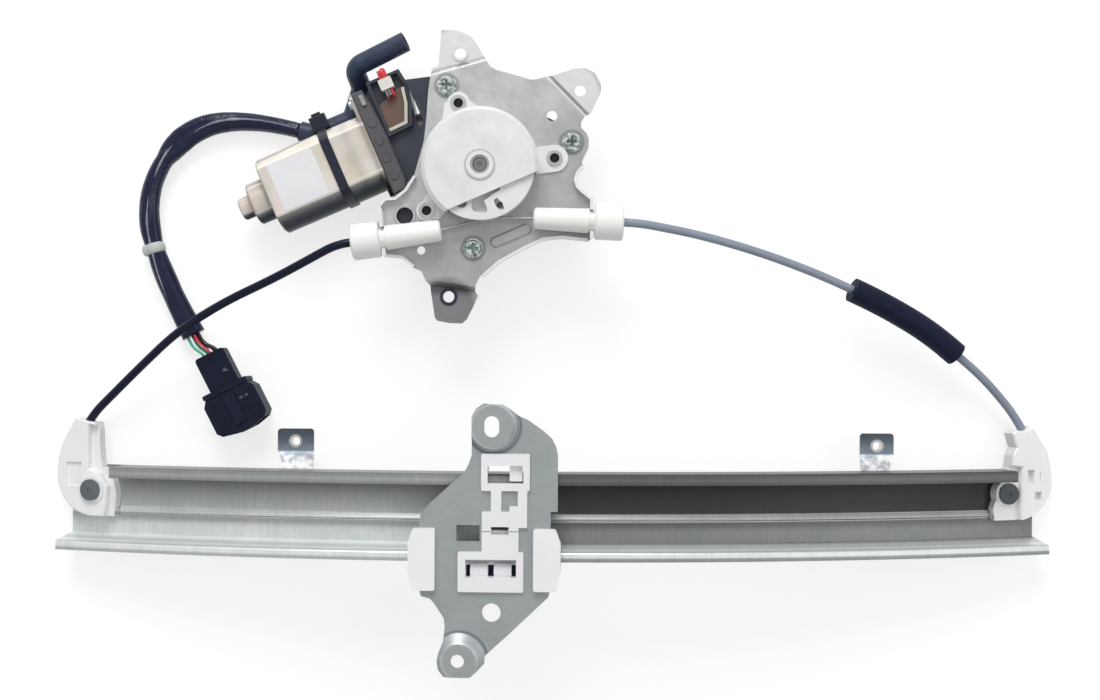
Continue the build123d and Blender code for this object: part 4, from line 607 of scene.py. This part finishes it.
tinned_brass = plain_metal("tinned_brass", (0.70, 0.62, 0.44), 0.30)
bronze = plain_metal("sintered_bronze", (0.55, 0.38, 0.18), 0.50)
ferrite = plain_metal("ferrite", (0.09, 0.09, 0.10), 0.60)
windings = plain_metal("windings", (0.42, 0.22, 0.10), 0.40)
can_zinc = drawn_can()
cover_coat = cast_cover()
screw_zinc = bright_zinc()
label_film = paper_label()
# pale vinyl of the painted highlights along the sleeve's folds
painted_highlight_vinyl = rubber_skin(
    "painted_highlight_vinyl", (0.16, 0.17, 0.22), (0.46, 0.47, 0.50), 0.30, 0.4, 300.0)
arrow_and_latch_highlight_nylon = moulded("arrow_and_latch_highlight_nylon", (0.085, 0.095, 0.135), 0.4)
window_shade_sheet = moulded("window_shade_sheet", (0.006, 0.010, 0.035), 0.5, Specular_IOR_Level=0.2)

DRESS = {
    rail_zinc: ["guide_rail"],
    bracket_zinc: ["left_bracket", "right_bracket"],
    carrier_zinc: ["carrier_plate"],
    plate_zinc: ["base_plate"],
    rivet_zinc: ["left_guide_rivet"],
    rivet_shade: ["right_guide_rivet"],
    eyelet_zinc: ["cover_rivets", "bracket_nuts"],
    screw_zinc: ["motor_screws", "lid_screws", "can_screws"],
    cover_coat: ["drum_cover"],
    white_acetal: ["left_end_guide", "right_end_guide", "slider_pads"],
    slider_acetal: ["carrier_slider"],
    cream_acetal: [
        "left_ferrule_body", "left_ferrule_cap", "right_ferrule_body",
        "right_ferrule_cap", "worm_wheel",
    ],
    drum_acetal: ["cable_drum"],
    wire_rope: [
        "wound_cable", "left_entry_wire", "right_entry_wire", "left_guide_wire",
        "right_guide_wire", "left_rail_wire", "right_rail_wire",
    ],
    ground_steel: ["worm", "cable_nipples", "earth_clip"],
    shaft_steel: ["output_shaft"],
    black_jacket: ["left_conduit"],
    grey_jacket: ["right_conduit"],
    foam: ["conduit_sleeve"],
    black_nylon: ["gearbox_housing", "gearbox_lid"],
    can_zinc: ["motor_can"],
    ferrite: ["motor_magnets"],
    bronze: ["shaft_bushes"],
    windings: ["armature"],
    grey_black_cap: ["brush_cap"],
    board_brown: ["sensor_board"],
    board_cream: ["board_frame"],
    block_white: ["wire_block"],
    red_skin: ["block_wires"],
    red_lanes: ["red_wires"],
    tie_nylon: ["can_tie"],
    vinyl: ["harness_sleeve"],
    tube_vinyl: ["harness_tube"],
    ring_white: ["harness_tape"],
    plug_nylon: ["harness_plug"],
    tinned_brass: ["plug_terminals"],
    green_lanes: ["green_wires"],
    black_skin: ["white_wire"],
}
for material, names in DRESS.items():
    for name in names:
        slots = nodes[name].data.materials
        for index in range(len(slots)):
            slots[index] = material


# ---- mesh helpers ----------------------------------------------------------
def piece(name, mesh, material, body="frame", slot=None):
    """Links a mesh as a piece that rides on a body."""
    made = bpy.data.objects.new(name, mesh)
    scene.collection.objects.link(made)
    mesh.materials.append(material)
    if body:
        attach(made, body)
    return made


def mesh_of(name, points, faces, smooth=True):
    """A mesh from its points and faces."""
    mesh = bpy.data.meshes.new(name)
    mesh.from_pydata([tuple(p) for p in points], [], faces)
    mesh.update()
    for polygon in mesh.polygons:
        polygon.use_smooth = smooth
    return mesh


def frames(path):
    """Each point of a path with the directions across it: level, then square to both."""
    side = None
    for i, spot in enumerate(path):
        ahead = (path[min(i + 1, len(path) - 1)] - path[max(i - 1, 0)]).normalized()
        if side is None:
            side = ahead.cross(Vector((0, 0, 1))).normalized()
        side = (side - ahead * side.dot(ahead)).normalized()
        yield i, spot, side, ahead.cross(side)


def tube(name, path, radius, sides=16):
    """A closed tube along a path; radius is a number or a function of place and angle."""
    points, faces = [], []
    for i, spot, side, up in frames(path):
        for k in range(sides):
            a = 2 * pi * k / sides
            r = radius(i, a) if callable(radius) else radius
            points.append(spot + side * (r * cos(a)) + up * (r * sin(a)))
    last = len(path) - 1
    for i in range(last):
        for k in range(sides):
            n = (k + 1) % sides
            faces.append((i * sides + k, i * sides + n,
                          (i + 1) * sides + n, (i + 1) * sides + k))
    faces.append(tuple(range(sides))[::-1])
    faces.append(tuple(last * sides + k for k in range(sides)))
    mesh = mesh_of(name, points, [f[::-1] for f in faces])
    for cap in (-1, -2):
        mesh.polygons[cap].use_smooth = False
    return mesh


def rounded(low, high, corner, steps=6):
    """Outline of a rectangle with round corners."""
    outline = []
    for k, (x, y) in enumerate((
        (high[0] - corner, high[1] - corner), (low[0] + corner, high[1] - corner),
        (low[0] + corner, low[1] + corner), (high[0] - corner, low[1] + corner),
    )):
        for i in range(steps + 1):
            a = (k + i / steps) * pi / 2
            outline.append((x + corner * cos(a), y + corner * sin(a)))
    return outline


def sheet(name, outline, low, high, place):
    """A thin plate between two heights; place turns outline points into space."""
    count = len(outline)
    points = [place(x, y, z) for z in (low, high) for x, y in outline]
    faces = [tuple(range(count))[::-1], tuple(range(count, 2 * count))]
    faces += [
        (i, (i + 1) % count, count + (i + 1) % count, count + i) for i in range(count)
    ]
    return mesh_of(name, points, faces, smooth=False)


# ---- small trim ---------------------------------------------------------------
# flat forms: corners, radius of the corners, lower and upper face
LABEL = ((-0.1150, 0.0224), (-0.0868, 0.0510), 0.0014, 0.03802, 0.03812)
CLIP = ((0.0144, -0.0754), (0.0216, -0.0666), 0.0006, 0.0193, 0.0210)
SHADE_SHEET_ENDS = ((-10.4, -7.95), (2.05, 5.5), (15.5, 18.4))     # mm along the slider
SHADE_SHEET_SIDES = (-0.1298, -0.1235)
NIPPLE_FOOT, NIPPLE_TOP = Vector((-0.0313, 0.0822, 0.0515)), Vector((-0.0313, 0.0822, 0.0562))
# wires of the block, mm along the motor: two crimps on the left, a boot on the right
BLOCK_WIRE_LEFT, BLOCK_WIRE_RIGHT, CRIMP_PITCH = -33.4, -29.8, 1.9
BLOCK_WIRE_Z = 36.2 * MM
CRIMP_START, CRIMP_END = 0.0648, 0.0606      # across the motor
# stations of the boot: mm from its wire along the motor, across the motor, and up
BOOT_LINE = (
    (-1.9, 71.2, 35.4), (-1.8, 72.0, 35.6), (-1.5, 73.6, 36.0), (-1.3, 75.4, 36.0),
    (-1.0, 76.6, 35.6), (-0.8, 77.3, 35.1))


def carrier_point(u, v, w):
    """Row frame point of carrier coordinates: u along the rail, v across, w off the web."""
    t = asin(CARRIER_X / RAIL_R)
    return Vector((
        CARRIER_X + u * cos(t) + w * sin(t), v,
        RAIL_CENTRE_Z + RAIL_R * cos(t) - u * sin(t) + w * cos(t)))


def flat_piece(name, form, place, material, **about):
    """A thin plate with round corners as a piece."""
    low, high, corner, lower, upper = form
    outline = rounded(low, high, corner)
    return piece(name, sheet(name, outline, lower, upper, place), material, **about)


def bulge(*radii):
    """Radius of a turned piece in mm, given station by station."""
    return lambda i, a: radii[i] * MM


def straight(start, end, count):
    """Stations along a straight line."""
    return [start.lerp(end, k / (count - 1)) for k in range(count)]


flat_piece("motor_label", LABEL, motor_point, label_film)
# dark sheets under the slider's windows: painted shade where the slots would show the pale floor
for number, (start, end) in enumerate(SHADE_SHEET_ENDS, 1):
    form = (
        (start * MM, SHADE_SHEET_SIDES[0]), (end * MM, SHADE_SHEET_SIDES[1]), 0.0003, 0.0130, 0.0150)
    flat_piece(
        "window_painted_shade_%d" % number, form, carrier_point, window_shade_sheet, body="carrier")
flat_piece("slider_clip", CLIP, carrier_point, slider_acetal, body="carrier")
piece(
    "anchor_nipple",
    tube(
        "anchor_nipple", straight(NIPPLE_FOOT, NIPPLE_TOP, 6),
        bulge(0.9, 1.5, 1.75, 1.75, 1.5, 0.8)),
    eyelet_zinc, body="drum")
piece(
    "wire_boot",
    tube(
        "wire_boot",
        [motor_point((BLOCK_WIRE_RIGHT + s) * MM, t * MM, z * MM) for s, t, z in BOOT_LINE],
        bulge(1.3, 1.75, 1.95, 1.9, 1.6, 0.9)),
    red_skin)
for number in (1, 2):
    s = (BLOCK_WIRE_LEFT + CRIMP_PITCH * (number - 1)) * MM
    piece(
        "crimp_%d" % number,
        tube(
            "crimp",
            straight(
                motor_point(s, CRIMP_START, BLOCK_WIRE_Z),
                motor_point(s, CRIMP_END, BLOCK_WIRE_Z), 6),
            bulge(1.0, 1.15, 1.1, 0.95, 1.1, 0.9)),
        shaft_steel)


# ---- wires along the rail ----------------------------------------------------
def rail_point(x):
    """Point of the wire at a place along the rail."""
    reach = RAIL_R + WIRE_OFFSET
    turn = asin(x / reach)
    return Vector((reach * sin(turn), WIRE_Y, RAIL_CENTRE_Z + reach * cos(turn)))


for side in ("left", "right"):
    node = side + "_rail_wire"
    name = node + "_run"
    low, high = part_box(node)
    path = [
        rail_point(low.x + (high.x - low.x) * i / WIRE_STEPS) for i in range(WIRE_STEPS + 1)
    ]
    wire = piece(
        name, tube(name, path, WIRE_RADIUS, sides=12), wire_rope, body=None,
        slot="cable_steel")
    ends = (path[0], path[-1]) if side == "left" else (path[-1], path[0])
    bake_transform(wire)
    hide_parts(node)


# ---- marks on the plug ----------------------------------------------------------
bpy.context.view_layer.update()


def on_plug(x, y):
    """Height of the plug's upper face at a place."""
    above = 0.1
    return nodes["harness_plug"].ray_cast((x, y, above), (0, 0, -1))[1].z


def plug_mark(name, outline, height):
    """A low raised form on the plug, sunk a little into its face."""
    levels = [on_plug(x, y) for x, y in outline]
    sunk = 0.0002
    return piece(
        name,
        sheet(name, outline, min(levels) - sunk, max(levels) + height,
              lambda *place: Vector(place)),
        arrow_and_latch_highlight_nylon)


plug_arrow = plug_mark(
    "plug_arrow", [(-0.1987, -0.0151), (-0.1946, -0.0143), (-0.1977, -0.0121)], 0.0003)
# the latch in the paler nylon of the arrow: a painted highlight on the latch
plug_latch = plug_mark(
    "plug_latch",
    [(-0.1880, -0.0300), (-0.1830, -0.0275), (-0.1823, -0.0288), (-0.1873, -0.0313)],
    0.0004)


# ---- harness cord --------------------------------------------------------------
SLEEVE_RADIUS = 0.006
# points of the spline, from the tie on the can to the plug
HARNESS_ROUTE = [
    (-0.1540, 0.13094, 0.0063), (-0.1826, 0.1384, 0.0063), (-0.2220, 0.1330, 0.0063),
    (-0.2475, 0.0970, 0.0063), (-0.2425, 0.0520, 0.0063), (-0.2180, 0.0070, 0.0063),
]


def smooth_line(points):
    """Points along the NURBS spline of a route."""
    curve = bpy.data.curves.new("route", "CURVE")
    curve.dimensions = "3D"
    spline = curve.splines.new("NURBS")
    spline.points.add(len(points) - 1)
    for point, place in zip(spline.points, points):
        point.co = (*place, 1.0)
    spline.order_u = 3
    spline.use_endpoint_u = True
    spline.resolution_u = 24
    holder = bpy.data.objects.new("route", curve)
    mesh = bpy.data.meshes.new_from_object(holder)
    line = [v.co.copy() for v in mesh.vertices]
    bpy.data.objects.remove(holder)
    bpy.data.meshes.remove(mesh)
    bpy.data.curves.remove(curve)
    return line


harness_line = smooth_line(HARNESS_ROUTE)
harness_steps = len(harness_line) - 1

# the point of the line at the ring
low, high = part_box("harness_tape")
middle = (low + high) / 2
nearest = min(
    range(len(harness_line)), key=lambda i: (harness_line[i] - middle).length)

# width of the flattened sleeve along its length, against its nominal diameter
SLEEVE_WIDTHS = (
    (0.00, 0.76), (0.10, 0.84), (0.22, 1.00), (0.32, 1.18), (0.42, 1.28), (0.48, 1.14),
    (0.515, 0.88), (0.60, 0.94), (0.80, 1.08), (0.93, 1.06), (1.00, 1.20),
)
PINCH_DEPTH, PINCH_STEPS = 0.16, 5.0     # at the ring
PLEAT_DEPTH, PLEAT_WIDTH = 0.11, 0.20    # the width is an angle round the sleeve
RIPPLE = 0.010


def width_at(u):
    """Relative width of the sleeve at a fraction of its length."""
    for (u0, w0), (u1, w1) in zip(SLEEVE_WIDTHS, SLEEVE_WIDTHS[1:]):
        if u <= u1:
            return w0 + (w1 - w0) * (u - u0) / (u1 - u0)
    return SLEEVE_WIDTHS[-1][1]


def pleat_angle(i):
    """Place of the pleat round the sleeve: on top, wandering to both sides."""
    return 0.55 * sin(0.055 * i + 0.6) - pi / 2


def wrapped(i, a):
    """Radius of the sleeve: flattened, pinched at the ring, pleated along its top."""
    wide = width_at(i / harness_steps)
    flat = min(0.98, 1.94 - wide)
    round_it = wide * cos(a) ** 2 + flat * sin(a) ** 2
    waist = 1.0 - PINCH_DEPTH * exp(-(((i - nearest) / PINCH_STEPS) ** 2))
    pleat = remainder(a - pleat_angle(i), 2 * pi)
    fold = 1.0 - PLEAT_DEPTH * exp(-((pleat / PLEAT_WIDTH) ** 2))
    ripple = 1.0 + RIPPLE * sin(0.61 * i + 2.0 * sin(0.23 * i)) * cos(2 * a + 0.35 * i)
    return SLEEVE_RADIUS * round_it * waist * fold * ripple


harness = piece(
    "harness_cord", tube("harness_cord", harness_line, wrapped, sides=28), vinyl,
    slot="sleeve_black")
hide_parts("harness_sleeve")

# moulded ring round the sleeve, with its lock on the outer side
along = (harness_line[nearest + 1] - harness_line[nearest - 1]).normalized()
RING_RADII = (0.0052, 0.0058, 0.0061, 0.0062, 0.0062, 0.0061, 0.0058, 0.0052)
RING_PITCH = 0.0009
LOCK_HEIGHT = 0.0016


def ring_profile(i, a):
    """Radius of the ring: rolled rims, and the lock where a is near zero."""
    lock = max(0.0, cos(a) - 0.78) / 0.22
    return RING_RADII[i] + LOCK_HEIGHT * min(1.0, 2.2 * lock)


ring = piece(
    "harness_ring",
    tube(
        "harness_ring",
        [harness_line[nearest] + along * (RING_PITCH * (k - 3.5)) for k in range(8)],
        ring_profile, sides=40),
    ring_white, slot="tape_white")
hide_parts("harness_tape")

# pale strips along the pleats of the sleeve, painted highlights where its vinyl is folded over:
# start and end along the sleeve, and how far from the pleat
SLEEVE_HIGHLIGHTS = ((0.10, 0.36, -0.42), (0.45, 0.585, 0.38), (0.655, 0.93, 0.45))
HIGHLIGHT_RISE = 0.00002
spots = list(frames(harness_line))
for number, (start, end, lean) in enumerate(SLEEVE_HIGHLIGHTS, 1):
    first, last = (round(u * harness_steps) for u in (start, end))
    line = []
    for i, spot, side, up in spots[first:last + 1]:
        a = pleat_angle(i) + lean
        r = wrapped(i, a) + HIGHLIGHT_RISE
        line.append(spot + side * (r * cos(a)) + up * (r * sin(a)))
    reach = len(line) - 1
    piece(
        "sleeve_crease_%d" % number,
        tube(
            "sleeve_painted_highlight", line,
            lambda i, a: 0.00006 + 0.00085 * sin(pi * i / reach) * (0.8 + 0.2 * sin(0.7 * i)),
            sides=10),
        painted_highlight_vinyl)

# taped wires between the sleeve's end and the plug
wrap = piece(
    "inner_wrap",
    tube(
        "inner_wrap",
        smooth_line([
            (-0.2196, 0.0098, 0.0052), (-0.2172, 0.0056, 0.0050),
            (-0.2128, 0.0018, 0.0048), (-0.2094, -0.0012, 0.0048)]),
        lambda i, a: 0.0023 * (1.0 + 0.05 * sin(0.9 * i + a)), sides=16),
    vinyl)
harness_length = sum((b - a).length for a, b in zip(harness_line, harness_line[1:]))


# ---- camera, floor and light -----------------------------------------------------
CAMERA_HEIGHT = 0.895
SENSOR = 36.0
SEEN_WIDTH, SEEN_FROM = 0.638, 0.850     # the frame's width at a distance below the camera
FLOOR_HALF, FLOOR_Z = 6, -0.0006
FLOOR_TONE, FLOOR_GLOW, WORLD_GLOW = 0.37, 0.70, 0.55

camera = bpy.data.objects.new("camera", bpy.data.cameras.new("camera"))
scene.collection.objects.link(camera)
scene.camera = camera
camera.location = (-0.002, -0.001, CAMERA_HEIGHT)
camera.rotation_euler = (0, 0, radians(0.3))
camera.data.sensor_width = SENSOR
camera.data.lens = SENSOR * SEEN_FROM / SEEN_WIDTH
camera.data.clip_start = 0.01
camera.data.clip_end = 50.0

# the floor glows for the eye, for mirror rays and through clear parts, but lights nothing
ground = Finish("pale_floor", Roughness=0.9, Base_Color=rgba(FLOOR_TONE))
seen = ground.node("ShaderNodeLightPath")
shiny = ground.node("ShaderNodeLightPath", out=SHINY_RAY)
through = ground.node("ShaderNodeLightPath", out=THROUGH_RAY)
ground.set(
    Emission_Color=ground.mix((seen + shiny + through).clamp(), 0.0, 1.0),
    Emission_Strength=FLOOR_GLOW,
)
corners = [
    (x * FLOOR_HALF, y * FLOOR_HALF, 0) for x, y in ((-1, -1), (1, -1), (1, 1), (-1, 1))]
floor = piece("floor", mesh_of("floor", corners, [(0, 1, 2, 3)]), ground.material, body=None)
floor.location.z = FLOOR_Z

world = bpy.data.worlds.new("studio")
scene.world = world
world.use_nodes = True
sky = world.node_tree.nodes["Background"]
sky.inputs["Color"].default_value = rgba(1.0)
sky.inputs["Strength"].default_value = WORLD_GLOW


def lamp(name, place, aim, size, power):
    """A soft square lamp."""
    data = bpy.data.lights.new(name, "AREA")
    data.shape = "SQUARE"
    data.size = size
    data.energy = power
    made = bpy.data.objects.new(name, data)
    scene.collection.objects.link(made)
    made.location = place
    made.rotation_euler = (Vector(aim) - Vector(place)).to_track_quat("-Z", "Y").to_euler()
    return made


lamp("key_lamp", (-0.25, 1.45, 1.15), (0, 0.02, 0.03), 0.90, 21.0)
lamp("side_lamp", (1.2, 0.2, 1.4), (0, 0.0, 0.03), 0.9, 4.0)
